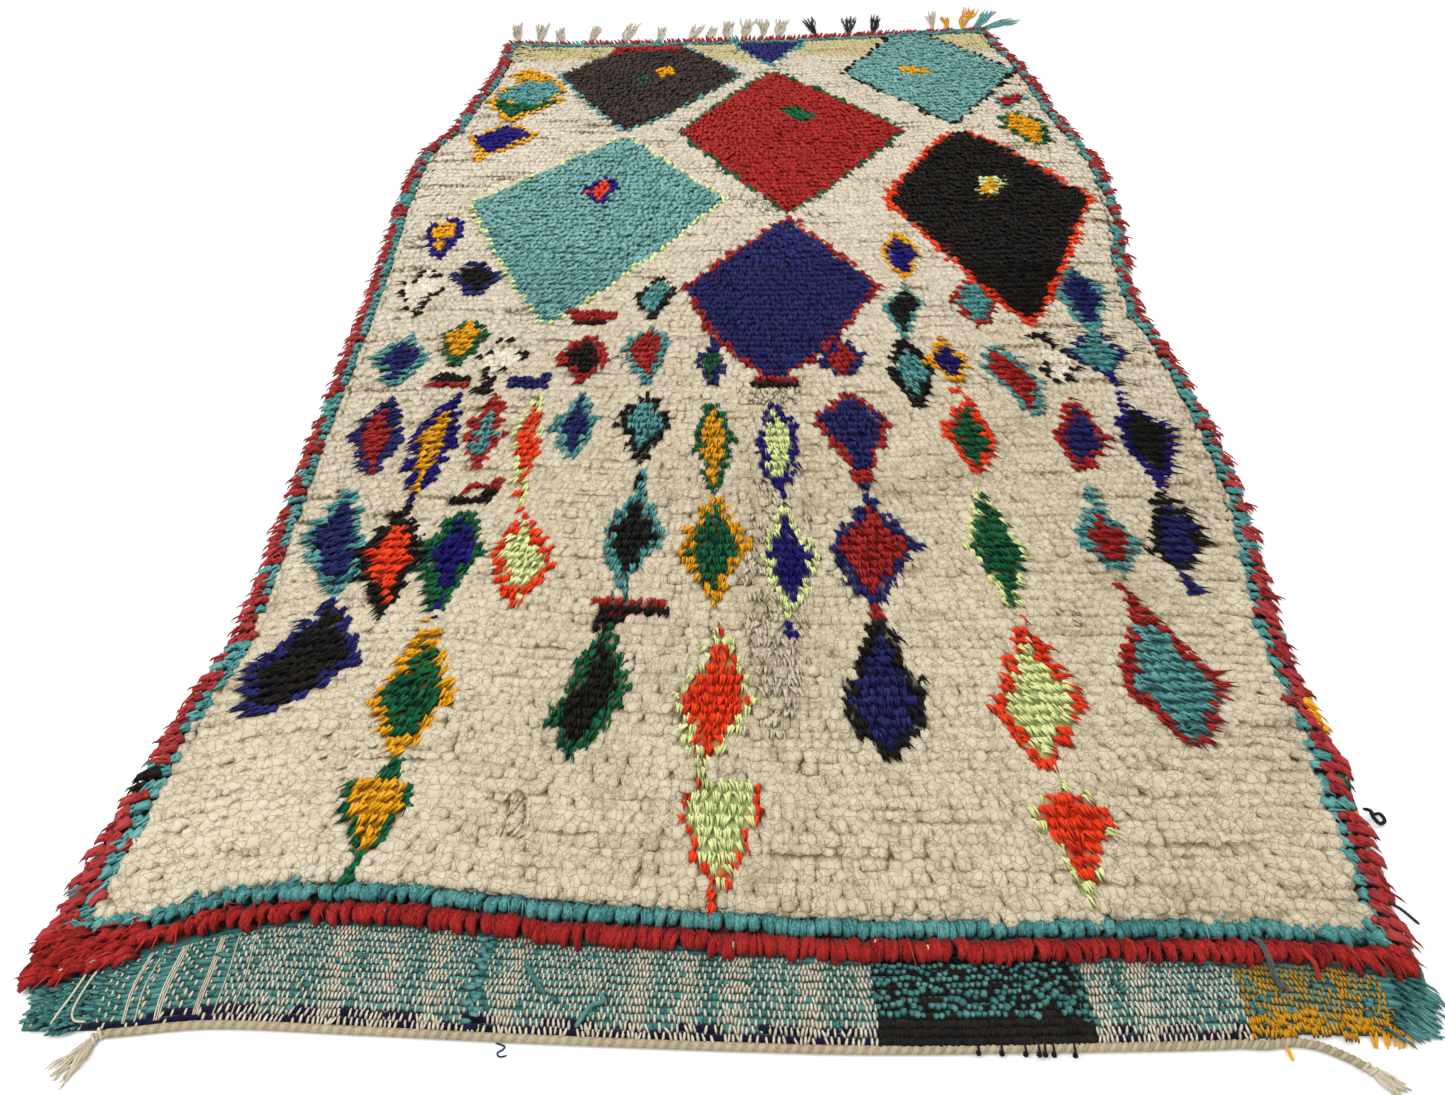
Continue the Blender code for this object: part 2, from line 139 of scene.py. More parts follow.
# Wools as sRGB: the roots' colour, darkened with painted shade; the usual colour; and where it is paler
WOOLS = {
    "ivory": ("#6E5B3C", "#C2B69C", "#E2D8C6"),
    "warp": ("#6E624C", "#C8BDA6", "#E4DCCB"),
    "cord": ("#5E503A", "#A99C80", "#C6BA9C"),
    "straw": ("#6E5E36", "#B9AA78", "#D2C696"),
    "red": ("#4A0B0D", "#A3221F", "#C23C36"),
    "faded_red": ("#46130F", "#9C2D2E", "#BE5552"),
    "orange_red": ("#8A1804", "#E53812", "#F2602C"),
    "teal": ("#174443", "#4F9391", "#88BDB7"),
    "weft_teal": ("#0E2C2C", "#3B716E", "#6BA099"),
    "pale_teal": ("#2A5350", "#6A9F9A", "#9AC5BC"),
    "navy": ("#0A0A26", "#20215A", "#383C80"),
    "weft_navy": ("#04030C", "#110E28", "#242046"),
    "violet": ("#080426", "#190E64", "#2E2290"),
    "black": ("#060504", "#171411", "#2C2722"),
    "charcoal": ("#14100E", "#352D29", "#52463E"),
    "green": ("#031C11", "#0E5433", "#25794D"),
    "gold": ("#5A3902", "#E39D08", "#F0B92F"),
    "lime": ("#76874C", "#DAE098", "#EAEFBC"),
    "warp_gold": ("#3A2401", "#BA8108", "#D8A22C"),
    "grey": ("#1E1E1B", "#50544F", "#8A897E"),
}

# Pattern chart, in millimetres: fill, edge, edge width, top tip, right tip, bottom tip, left tip,
# and how hollow its upper and lower sides are (1 straight, under 1 full, over 1 hollow)
LOZENGES = (
    ("black", "navy", 18, (-528, 556), (-462, 452), (-578, 358), (-606, 425), 0.8, 0.6),
    ("green", "gold", 16, (-388, 530), (-330, 392), (-388, 298), (-442, 392), 1.0, 1.0),
    ("gold", "green", 11, (-385, 300), (-345, 264), (-398, 148), (-440, 274), 2.0, 0.9),
    ("black", "green", 18, (-163, 520), (-120, 410), (-190, 298), (-217, 372), 0.8, 0.8),
    ("orange_red", "lime", 13, (-13, 528), (36, 400), (-30, 290), (-70, 390), 0.9, 0.9),
    ("lime", "orange_red", 12, (-10, 284), (50, 254), (-12, 118), (-60, 254), 0.3, 1.0),
    ("navy", "black", 18, (190, 542), (246, 395), (183, 308), (130, 400), 0.75, 0.7),
    ("lime", "orange_red", 16, (375, 542), (436, 400), (362, 298), (314, 395), 0.9, 0.9),
    ("orange_red", "lime", 9, (376, 292), (434, 248), (380, 138), (338, 252), 0.8, 1.0),
    ("teal", "red", 18, (533, 582), (614, 430), (543, 338), (480, 440), 0.8, 0.7),
    ("navy", "teal", 14, (-562, 772), (-506, 630), (-530, 556), (-606, 672), 0.7, 0.7),
    ("orange_red", "black", 20, (-474, 738), (-428, 640), (-452, 520), (-522, 630), 0.7, 0.7),
    ("violet", "green", 18, (-386, 732), (-344, 660), (-388, 528), (-434, 655), 0.5, 0.65),
    ("lime", "orange_red", 16, (-300, 724), (-244, 620), (-288, 538), (-334, 645), 0.6, 0.6),
    ("black", "teal", 14, (-138, 792), (-94, 692), (-146, 572), (-188, 692), 1.1, 0.9),
    ("green", "gold", 16, (-26, 772), (24, 668), (-24, 545), (-78, 662), 0.8, 0.8),
    ("violet", "lime", 12, (68, 768), (118, 648), (78, 518), (38, 650), 1.0, 0.8),
    ("red", "navy", 18, (198, 782), (258, 676), (185, 552), (128, 665), 0.9, 0.8),
    ("green", "lime", 9, (358, 802), (410, 672), (370, 548), (322, 672), 0.8, 0.8),
    ("red", "teal", 16, (520, 778), (566, 690), (525, 620), (478, 692), 0.9, 0.6),
    ("navy", "black", 16, (622, 798), (670, 722), (615, 640), (574, 676), 0.9, 0.5),
    ("red", "navy", 18, (-553, 1004), (-518, 890), (-542, 802), (-602, 910), 0.7, 0.6),
    ("gold", "violet", 14, (-452, 1004), (-432, 890), (-468, 742), (-502, 890), 0.6, 0.7),
    ("teal", "red", 14, (-390, 1004), (-362, 910), (-392, 820), (-420, 900), 0.6, 0.5),
    ("orange_red", "lime", 7, (-320, 1012), (-297, 900), (-310, 738), (-345, 900), 0.6, 0.7),
    ("navy", "teal", 14, (-248, 1022), (-216, 930), (-250, 846), (-290, 930), 0.7, 0.6),
    ("teal", "black", 16, (-145, 1018), (-98, 945), (-145, 818), (-194, 945), 0.8, 1.1),
    ("gold", "green", 12, (-38, 1004), (-4, 900), (-30, 768), (-67, 900), 0.6, 0.6),
    ("lime", "violet", 14, (55, 1002), (100, 922), (70, 762), (27, 895), 0.8, 0.6),
    ("navy", "red", 14, (182, 1034), (246, 958), (193, 786), (118, 962), 0.9, 0.9),
    ("green", "orange_red", 14, (370, 1024), (403, 910), (370, 832), (322, 930), 0.8, 0.6),
    ("navy", "red", 14, (541, 1024), (578, 920), (520, 836), (493, 918), 0.7, 0.6),
    ("black", "violet", 14, (625, 1012), (684, 938), (632, 812), (590, 920), 0.7, 0.7),
    ("navy", "teal", 14, (-568, 1186), (-520, 1112), (-570, 1018), (-618, 1112), 0.9, 0.8),
    ("gold", "green", 12, (-472, 1234), (-434, 1180), (-477, 1072), (-516, 1180), 0.6, 0.8),
    ("white", "black", 14, (-398, 1192), (-356, 1120), (-412, 1036), (-440, 1112), 0.8, 0.7),
    ("black", "red", 16, (-255, 1196), (-214, 1112), (-262, 1040), (-308, 1126), 0.9, 0.8),
    ("red", "teal", 12, (-154, 1218), (-116, 1152), (-148, 1040), (-202, 1142), 0.7, 0.9),
    ("green", "navy", 12, (-40, 1192), (-16, 1112), (-42, 1030), (-70, 1104), 0.8, 0.8),
    ("red", "navy", 18, (176, 1192), (222, 1130), (175, 1072), (132, 1112), 0.7, 0.6),
    ("teal", "black", 18, (284, 1186), (332, 1098), (292, 982), (250, 1092), 0.6, 0.6),
    ("violet", "gold", 14, (352, 1192), (392, 1122), (360, 1062), (312, 1114), 0.9, 0.7),
    ("red", "teal", 14, (436, 1176), (502, 1076), (478, 968), (406, 1112), 0.8, 0.7),
    ("white", "black", 14, (535, 1196), (578, 1130), (535, 1056), (498, 1128), 0.7, 0.7),
    ("teal", "navy", 12, (618, 1216), (662, 1145), (616, 1086), (558, 1152), 0.6, 0.7),
    ("white", "black", 13, (-580, 1408), (-544, 1330), (-578, 1238), (-628, 1330), 0.7, 0.7),
    ("black", "navy", 16, (-494, 1426), (-440, 1376), (-482, 1298), (-542, 1386), 0.6, 0.7),
    ("teal", "black", 14, (-148, 1378), (-114, 1330), (-154, 1232), (-194, 1318), 0.6, 0.7),
    ("black", "teal", 10, (304, 1374), (336, 1306), (292, 1192), (254, 1290), 1.1, 0.8),
    ("teal", "red", 14, (430, 1388), (472, 1330), (428, 1222), (376, 1310), 0.6, 0.6),
    ("navy", "teal", 14, (626, 1442), (672, 1340), (618, 1208), (573, 1330), 0.7, 0.8),
    ("gold", "violet", 16, (-580, 1608), (-544, 1560), (-574, 1438), (-626, 1545), 0.7, 0.6),
    ("violet", "gold", 14, (-542, 2050), (-462, 1996), (-566, 1886), (-616, 1980), 0.9, 0.6),
    ("gold", "gold", 5, (-572, 1890), (-560, 1868), (-580, 1842), (-594, 1866), 0.6, 0.6),
    ("green", "gold", 15, (-520, 2250), (-425, 2180), (-546, 2048), (-618, 2176), 0.7, 1.1),
    ("teal", "gold", 13, (-500, 2340), (-428, 2230), (-512, 2160), (-606, 2206), 0.6, 0.4),
    ("gold", "gold", 5, (-548, 2392), (-464, 2306), (-500, 2284), (-586, 2318), 1.3, 0.9),
    ("gold", "green", 15, (622, 2152), (702, 2082), (662, 1972), (590, 2066), 0.7, 0.5),
    ("red", "teal", 10, (664, 2262), (692, 2238), (626, 2162), (598, 2216), 0.7, 0.7),
    ("violet", "gold", 15, (305, 1562), (352, 1482), (305, 1378), (266, 1486), 0.7, 0.7),
    ("pale_teal", "lime", 9, (-262, 1992), (-28, 1690), (-338, 1208), (-562, 1665), 0.95, 0.86),
    ("navy", "red", 13, (93, 1624), (264, 1362), (60, 1064), (-110, 1348), 0.95, 0.62),
    ("black", "orange_red", 14, (490, 2046), (728, 1725), (515, 1222), (291, 1700), 0.72, 0.88),
    ("red", "green", 11, (68, 2376), (378, 2040), (95, 1628), (-152, 2010), 0.88, 0.90),
    ("charcoal", "teal", 10, (-228, 2580), (4, 2350), (-268, 2006), (-466, 2340), 0.75, 0.85),
    ("navy", "teal", 13, (60, 2800), (198, 2640), (68, 2396), (-98, 2640), 0.5, 0.95),
    ("pale_teal", "black", 11, (430, 2700), (686, 2400), (487, 2066), (240, 2370), 0.95, 0.95),
    ("orange_red", "violet", 15, (-290, 1788), (-260, 1740), (-292, 1662), (-332, 1716), 0.7, 0.7),
    ("gold", "lime", 14, (526, 1818), (552, 1776), (518, 1718), (488, 1746), 0.6, 0.6),
    ("green", "green", 5, (118, 2160), (166, 2120), (140, 2080), (82, 2126), 0.7, 0.7),
    ("gold", "gold", 5, (-194, 2396), (-172, 2362), (-204, 2324), (-224, 2366), 0.4, 0.6),
    ("gold", "gold", 5, (402, 2424), (466, 2384), (430, 2360), (384, 2398), 0.5, 0.6),
    ("green", "green", 5, (-252, 2334), (-236, 2318), (-254, 2292), (-268, 2322), 0.7, 0.7),
)

# Odd wools in the side borders: wool, side of the rug, from and to up the rug, in metres
PATCHES = (
    ("black", -1, 0.262, 0.288),
    ("gold", 1, 0.384, 0.434),
    ("green", 1, 0.300, 0.318),
)

# Loose yarn ends: wool, radius, and the points that each runs through, in metres
STRAYS = (
    ("navy", 0.0009, ((-0.2176, -0.0060, 0.0005), (-0.2085, -0.0092, 0.0010), (-0.2100, -0.0125, 0.0010),
                      (-0.2145, -0.0150, 0.0010), (-0.2120, -0.0190, 0.0010), (-0.2047, -0.0175, 0.0010))),
    ("weft_teal", 0.0024, ((-0.1420, 0.0080, 0.0070), (-0.1370, 0.0150, 0.0100), (-0.1290, 0.0279, 0.0105),
                           (-0.1171, 0.0326, 0.0110), (-0.1217, 0.0423, 0.0080))),
    ("weft_teal", 0.0021, ((-0.2010, 0.0740, 0.0090), (-0.1900, 0.0570, 0.0100), (-0.1762, 0.0406, 0.0080))),
    ("red", 0.0024, ((0.5750, 0.1060, 0.0170), (0.5809, 0.0920, 0.0215), (0.5886, 0.0830, 0.0180),
                     (0.5920, 0.0710, 0.0080))),
    ("grey", 0.0019, ((0.5340, 0.1120, 0.0160), (0.5365, 0.1020, 0.0235), (0.5410, 0.0870, 0.0230),
                      (0.5450, 0.0720, 0.0130), (0.5535, 0.0600, 0.0075))),
    ("grey", 0.0018, ((0.5370, 0.1110, 0.0160), (0.5400, 0.1010, 0.0240), (0.5440, 0.0850, 0.0225),
                      (0.5490, 0.0700, 0.0120), (0.5600, 0.0590, 0.0070))),
    ("gold", 0.0018, ((0.5275, 0.0150, 0.0030), (0.5360, 0.0095, 0.0030), (0.5402, 0.0050, 0.0030),
                      (0.5425, -0.0060, 0.0020))),
    ("black", 0.0021, ((0.7110, 0.2680, 0.0120), (0.7190, 0.2670, 0.0100), (0.7225, 0.2642, 0.0070),
                       (0.7308, 0.2656, 0.0060), (0.7336, 0.2578, 0.0050), (0.7264, 0.2536, 0.0050),
                       (0.7210, 0.2600, 0.0075), (0.7180, 0.2660, 0.0115))),
    ("charcoal", 0.0016, ((0.6900, 0.1560, 0.0120), (0.7030, 0.1480, 0.0110), (0.7200, 0.1350, 0.0040))),
    ("ivory", 0.0012, ((-0.6660, 0.0120, 0.0060), (-0.6680, 0.0030, 0.0060), (-0.6720, -0.0060, 0.0015))),
    ("ivory", 0.0012, ((-0.6330, 0.0620, 0.0090), (-0.6400, 0.0300, 0.0090), (-0.6480, 0.0040, 0.0080),
                       (-0.6530, -0.0080, 0.0015))),
    ("ivory", 0.0012, ((-0.6250, 0.0560, 0.0090), (-0.6300, 0.0350, 0.0100), (-0.6330, 0.0130, 0.0090),
                       (-0.6280, 0.0030, 0.0080), (-0.6160, 0.0020, 0.0080))),
    ("black", 0.0008, ((0.6250, 1.0640, 0.0230), (0.6380, 1.0560, 0.0240), (0.6540, 1.0500, 0.0220))),
)

# Small knots of black yarn tied over the twisted cord: how far across
BLACK_KNOTS = (0.2436, 0.2657, 0.2882, 0.3010, 0.3068, 0.3150, 0.3350)

# Straight bars and the short stems that link motifs: wool, left, right, bottom, top, rise from left to right
BARS = (
    ("red", -185, -88, 546, 568, 4),
    ("black", -180, -84, 524, 546, 8),
    ("black", -178, -160, 508, 528, 0),
    ("red", -398, -346, 770, 792, 10),
    ("black", -416, -350, 742, 768, 6),
    ("red", -500, -440, 1020, 1040, 0),
    ("black", -498, -442, 1040, 1062, 0),
    ("navy", -378, -310, 1020, 1066, 0),
    ("red", -300, -212, 1228, 1270, 0),
    ("black", -294, -232, 1214, 1230, 0),
    ("red", 30, 96, 1052, 1072, 0),
    ("black", 26, 102, 1032, 1052, 6),
    ("red", -345, -165, 2480, 2556, 34),
    ("violet", -395, -381, 520, 566, 0),
    ("gold", -396, -382, 300, 330, 0),
    ("red", 178, 196, 536, 560, 0),
    ("red", 520, 532, 572, 622, 0),
    ("teal", 512, 530, 776, 812, 0),
    ("navy", 606, 620, 596, 646, 0),
    ("navy", 600, 632, 584, 600, 0),
    ("violet", 612, 628, 1008, 1094, 0),
    ("black", -150, -136, 780, 822, 0),
    ("teal", -144, -132, 786, 830, 0),
    ("orange_red", -312, -300, 724, 745, 0),
    ("violet", 72, 84, 500, 522, 0),
    ("black", -425, -400, 1006, 1040, 0),
    ("navy", 186, 200, 776, 800, 0),
    ("green", -402, -392, 146, 166, 0),
    ("orange_red", 352, 370, 1018, 1052, 0),
    ("green", -392, -372, 298, 312, 0),
    ("black", 500, 540, 1200, 1216, 0),
    ("violet", 620, 640, 805, 822, 0),
)

# Yellower ground wool at the far end: left, right, bottom, top
STRAW = (
    (-606, -330, 2432, 2560),
    (-150, -88, 2500, 2600),
    (-92, 30, 2440, 2560),
    (140, 410, 2482, 2660),
    (465, 662, 2540, 2692),
)

# Worn patches where the ground wool has come apart: middle across and up, half width, half length, in metres
SHAGGY = (
    (0.060, 0.620, 0.045, 0.270),
    (0.050, 1.025, 0.050, 0.030),
    (0.050, 1.700, 0.050, 0.050),
    (-0.235, 0.250, 0.020, 0.035),
)

# Warp colours of the flat-woven end: from this place across, in metres
WARPS = (
    (-0.700, "teal"),
    (-0.645, "ivory"),
    (0.149, "black"),
    (0.356, "ivory"),
    (0.509, "gold"),
    (0.656, "teal"),
)

# Rows of knots, and thick wefts in the flat-woven end
ROWS = 153
WEFTS = 15

# Spacing of the rows, and of the knots in a row of ground wool and of dyed wool, in metres
NEAR_PITCH = 0.0152
FAR_PITCH = 0.0182
NEAR_STEP = 0.0094
FAR_STEP = 0.0112
DYED_STEP = 0.0098

# Heights of the ground under the pile, of the ground under the flat weave, and of the roots of the knots
BED = 0.0130
LOW_BED = 0.0034
ROOTS = 0.003

# How ragged the sides of a lozenge are, in millimetres
JAG = 8.0

# Wools of the undyed ground
UNDYED = ("ivory", "white", "straw")

# How far in from the edges of the pile its borders reach; the near teal is counted from the end of the red
NEAR_RED = 0.036
NEAR_TEAL = 0.019
NEAR_BORDER = 0.064
SIDE_BORDER = 0.036
FAR_RED = 0.013
FAR_TEAL = 0.034

# Lengths of yarn in a knot of the ground, the side borders, their teal and the far edge
GROUND_YARN = 0.0350
SIDE_YARN = 0.033
TEAL_YARN = 0.028
FAR_YARN = 0.019

# Curls of the near border: length of their yarn, and how far apart they are
CURL_YARN = {"red": 0.063, "teal": 0.050}
CURL_STEP = 0.0136

# How far a knot's strands fan out, in radians for a metre aside
FAN = 30.0

# Half the usual width of the rug
HALF_WIDTH = 0.66

# Flat-woven end: the column of loose thick wefts, and where the bundled warps at the left end stop
LOOSE_COLUMN = -0.243
BUNDLED_TO = -0.47

# Wefts that come out past the last warps: side, place across, turn, length, how many, how far in, height
CORNER_WEFTS = (
    ("left", -0.68, 190, 0.018, 12, (0.010, 0.058), 0.0062),
    ("right", 0.68, -26, 0.034, 8, (0.004, 0.030), 0.0066),
)

# Radius of a yarn in the tassels
TASSEL_YARN = 0.0015

# Length of one wave of a wave texture at scale 1
WAVE = 0.314

# Most triangles in one piece of pile
PIECE_FACES = 190000

# Tufts have fewer faces past these distances from the near edge, where the eye can't count them
NEAR_ROWS = 0.70
NEAR_HALF = 1.45

# How dark the painted shade of each kind of tuft is where it touches the next, as a share of the near
# border's
SEAM_SHADES = {
    "roll": 1.0,
    "wedge": 0.95,
    "strand": 0.90,
    "fine_strand": 0.85,
    "far_strand": 0.70,
    "lobe_near": 0.84,
    "lobe_middle": 0.82,
    "lobe_far": 0.74,
}

# Lowest that wool may lie
FLOOR_CLEAR = 0.0003

# Draws for the few knots of the bed that may be either wool
BED_CHANCE = random.Random(2)


def hex_colour(code):
    """An sRGB hex value as the linear colour that Blender's sockets take."""
    parts = [int(code[i:i + 2], 16) / 255 for i in (1, 3, 5)]
    linear = [c / 12.92 if c <= 0.04045 else ((c + 0.055) / 1.055) ** 2.4 for c in parts]
    return (*linear, 1.0)


def add_node(tree, kind, settings, links):
    """A node with its settings and with links into its inputs. A ramp's stops are places and hex colours."""
    node = tree.nodes.new(kind)
    for name, value in settings.items():
        if name == "stops":
            points = node.color_ramp.elements
            points[0].color = hex_colour(value[0][1])
            points[1].position, points[1].color = value[-1][0], hex_colour(value[-1][1])
            for place, code in value[1:-1]:
                points.new(place).color = hex_colour(code)
        elif name == "steps":
            node.color_ramp.interpolation = value
        elif isinstance(name, int) or name in node.inputs:
            node.inputs[name].default_value = value
        else:
            setattr(node, name, value)
    for name, source in links.items():
        tree.links.new(source, node.inputs[name])
    return node


def new_material(name):
    """An empty material, and its node tree."""
    made = bpy.data.materials.new(name)
    made.use_nodes = True
    made.node_tree.nodes.clear()
    return made, made.node_tree


def finish_wool(tree, colour, height, strength, ridge, settings):
    """Bump, shader and output of a wool, from its colour and the height of its yarns."""
    bump = add_node(tree, "ShaderNodeBump", {"Strength": strength, "Distance": ridge}, {"Height": height})
    shader = add_node(tree, "ShaderNodeBsdfPrincipled", settings,
                      {"Base Color": colour, "Normal": bump.outputs["Normal"]})
    add_node(tree, "ShaderNodeOutputMaterial", {}, {"Surface": shader.outputs["BSDF"]})


def spun_wool(name, wool, hair_mm=0.9, dirt=0.30, ridge=0.0010, streaks=0.9, felted=False, locks_mm=0.0):
    """Hand-spun, hand-dyed wool: matt, with fine hairs along each knot, paler where the dye took less and
    dark between the knots, where light doesn't reach."""
    root, usual, pale = WOOLS[wool]
    made, tree = new_material(name)
    fibre = add_node(tree, "ShaderNodeAttribute", {"attribute_name": "fibre"}, {}).outputs["Vector"]
    tone = add_node(tree, "ShaderNodeAttribute", {"attribute_name": "tone"}, {}).outputs["Fac"]
    depth = add_node(tree, "ShaderNodeAttribute", {"attribute_name": "depth"}, {}).outputs["Fac"]
    place = add_node(tree, "ShaderNodeTexCoord", {}, {}).outputs["Object"]

    if felted:
        # Here and there the rows part, in creases about 140 mm long across the rug and 24 mm wide, darkened
        # with painted shade
        rows = add_node(tree, "ShaderNodeMapping", {"Scale": (7.0, 42.0, 1.0)},
                        {"Vector": place}).outputs["Vector"]
        parted = add_node(tree, "ShaderNodeTexNoise", {"Scale": 1.0, "Detail": 1.0},
                          {"Vector": rows}).outputs["Fac"]
        opened = add_node(tree, "ShaderNodeMapRange", {"From Min": 0.53, "From Max": 0.70, "To Max": 0.36},
                          {"Value": parted}).outputs["Result"]
        depth = add_node(tree, "ShaderNodeMath", {"operation": "SUBTRACT"}, {0: depth, 1: opened}).outputs[0]

    # Hairs: hair_mm apart across the knot and ten times as long along it
    hair_scale = (1 / hair_mm, 0.1 / hair_mm, 1.0)
    laid = add_node(tree, "ShaderNodeMapping", {"Scale": hair_scale}, {"Vector": fibre}).outputs["Vector"]
    hairs = add_node(tree, "ShaderNodeTexNoise", {"Scale": 1.0, "Detail": 3.0, "Roughness": 0.6},
                     {"Vector": laid}).outputs["Fac"]

    # Soiling and uneven dye: patches about 70 mm wide
    patches = add_node(tree, "ShaderNodeTexNoise", {"Scale": 14.0, "Detail": 2.0},
                       {"Vector": place}).outputs["Fac"]
    shade = add_node(tree, "ShaderNodeMath", {"operation": "MULTIPLY_ADD", 1: streaks, 2: -streaks / 2},
                     {0: hairs}).outputs[0]
    mixed = add_node(tree, "ShaderNodeMath", {"operation": "ADD"}, {0: tone, 1: shade}).outputs[0]
    worn = add_node(tree, "ShaderNodeMath", {"operation": "MULTIPLY_ADD", 1: dirt, 2: -dirt / 2},
                    {0: patches}).outputs[0]
    total = add_node(tree, "ShaderNodeMath", {"operation": "ADD"}, {0: mixed, 1: worn}).outputs[0]
    colour = add_node(tree, "ShaderNodeValToRGB", {"stops": ((0.0, root), (0.42, usual), (1.0, pale))},
                      {"Fac": total}).outputs["Color"]
    # Painted shade towards the roots: low on each tuft its colour turns to the root colour
    deep = add_node(tree, "ShaderNodeMapRange", {"From Min": 0.05, "From Max": 0.42}, {"Value": depth})
    shaded = add_node(tree, "ShaderNodeMix", {"data_type": "RGBA", 6: hex_colour(root)},
                      {0: deep.outputs["Result"], 7: colour}).outputs[2]

    # Painted shade in the seams where tufts touch: a tuft's rim is nearer its root's colour
    rim = add_node(tree, "ShaderNodeAttribute", {"attribute_name": "rim"}, {}).outputs["Fac"]
    seam_shade = add_node(tree, "ShaderNodeMapRange", {"interpolation_type": "SMOOTHSTEP", "From Min": 0.55,
                    "From Max": 1.05, "To Max": 0.45 if felted else 0.6}, {"Value": rim})
    shaded = add_node(tree, "ShaderNodeMix", {"data_type": "RGBA", 7: hex_colour(root)},
                      {0: seam_shade.outputs["Result"], 6: shaded}).outputs[2]

    height = hairs
    if locks_mm:
        # Walked-on wool felts into locks, and curled wool into smaller ones, with painted shade in the crease
        # round each
        bent = add_node(tree, "ShaderNodeTexNoise", {"Scale": 800 / locks_mm, "Detail": 2.0},
                        {"Vector": place})
        bend = 0.001 * locks_mm
        moved = add_node(tree, "ShaderNodeVectorMath", {"operation": "MULTIPLY_ADD", 1: (bend, bend, bend)},
                         {0: bent.outputs["Color"], 2: place}).outputs["Vector"]
        locks = add_node(tree, "ShaderNodeTexVoronoi",
                         {"feature": "DISTANCE_TO_EDGE", "Scale": 1000 / locks_mm},
                         {"Vector": moved}).outputs["Distance"]
        crease = add_node(tree, "ShaderNodeMapRange", {"interpolation_type": "SMOOTHSTEP", "From Max": 0.05,
                          "To Min": 0.46, "To Max": 0.0}, {"Value": locks}).outputs["Result"]
        shaded = add_node(tree, "ShaderNodeMix", {"data_type": "RGBA", 7: hex_colour(root)},
                          {0: crease, 6: shaded}).outputs[2]
        height = add_node(tree, "ShaderNodeMath", {"operation": "MULTIPLY_ADD", 1: -1.6},
                          {0: crease, 2: hairs}).outputs[0]
    finish_wool(tree, shaded, height, 0.8, ridge, {
        "Roughness": 0.95, "Specular IOR Level": 0.12, "IOR": 1.45,
        "Sheen Weight": 0.04, "Sheen Roughness": 0.5,
    })
    return made


def slope_table(table, column):
    """Marks, values and slopes of one column of a table."""
    rows = np.array([(row[0], row[column]) for row in table])
    marks, values = rows[:, 0], rows[:, 1]
    after = np.r_[np.arange(1, len(marks)), len(marks) - 1]
    before = np.r_[0, np.arange(len(marks) - 1)]
    return marks, values, (values[after] - values[before]) / (marks[after] - marks[before])


LINES = {
    "left": slope_table(SIDE_EDGES, 1),
    "right": slope_table(SIDE_EDGES, 2),
    "near": slope_table(END_LINES, 1),
    "front": slope_table(END_LINES, 2),
    "far": slope_table(END_LINES, 3),
}


def line(name, place):
    """Where an edge of the rug runs at a place, on a smooth curve through its table."""
    marks, values, slopes = LINES[name]
    place = np.clip(place, marks[0], marks[-1])
    i = np.clip(np.searchsorted(marks, place) - 1, 0, len(marks) - 2)
    span = marks[i + 1] - marks[i]
    t = (place - marks[i]) / span
    leave, reach = slopes[i] * span, slopes[i + 1] * span
    step = values[i + 1] - values[i]
    bend, twist = 3 * step - 2 * leave - reach, leave + reach - 2 * step
    return values[i] + leave * t + bend * t ** 2 + twist * t ** 3


def rough(x, y, z):
    """Soft noise at a place, about -1 to 1."""
    return noise.noise(Vector((x, y, z)))


def edge_at(name, place):
    """Where an edge runs at one place, as a plain number."""
    return float(line(name, place))


def ease(low, high, value):
    """0 at low, 1 at high, smooth between, and flat beyond them."""
    t = min(max((value - low) / (high - low), 0.0), 1.0)
    return t * t * (3 - 2 * t)


def beside(x, y, way, aside, ahead=0.0):
    """A place moved sideways from the way that a knot falls, and ahead along it."""
    through, across = math.cos(way), math.sin(way)
    return x - aside * across + ahead * through, y + aside * through + ahead * across


def inside(lozenge, x, y, jag):
    """How many millimetres inside a lozenge's side a place is, measured across the rug; negative outside."""
    top, right, bottom, left, upper, lower = lozenge[3:]
    if not bottom[1] < y < top[1]:
        return -1.0
    rise = (top[0] - bottom[0]) / (top[1] - bottom[1])
    axis = bottom[0] + rise * (y - bottom[1])
    tip = right if x > axis else left
    half = abs(tip[0] - bottom[0] - rise * (tip[1] - bottom[1]))
    if y > tip[1]:
        share = ((top[1] - y) / (top[1] - tip[1])) ** upper
    else:
        share = ((y - bottom[1]) / (tip[1] - bottom[1])) ** lower
    return half * share + jag - abs(x - axis)


def charted_wool(x, y, row, chance):
    """Wool of the knot that shows at a place, in millimetres."""
    for wool, left, right, bottom, top, rise in BARS:
        if left < x < right and bottom < y - rise * (x - left) / (right - left) < top:
            return wool
    for i in reversed(range(len(LOZENGES))):
        lozenge = LOZENGES[i]
        jag = JAG * rough(row * 7.3, i * 3.1, 1.0 if x > lozenge[3][0] else 5.0)
        reach = inside(lozenge, x, y, jag)
        if reach <= 0:
            continue
        fill, edge, width = lozenge[:3]
        if reach > width:
            return fill
        if fill == "white" and chance.random() < 0.3:
            return "ivory"
        return edge
    for left, right, bottom, top in STRAW:
        if left < x < right and bottom < y < top:
            return "straw"
    return "ivory"


def red_rows(x):
    """How deep the red of the near border is at a place across, in metres."""
    return NEAR_RED + 0.014 * ease(-0.54, -0.67, x)


def side_rows(x, y):
    """How far in from a side edge its red and its teal reach: broad near the viewer, ragged beyond."""
    ragged = ease(0.22, 0.34, y) if x < 0 else ease(0.50, 0.85, y)
    broken = rough(y * (20.0 if x < 0 else 38.0), 4.0, 1.0 if x < 0 else 6.0)
    return (0.022 - 0.011 * ragged) * (1 + 1.7 * ragged * broken), SIDE_BORDER - 0.013 * ragged


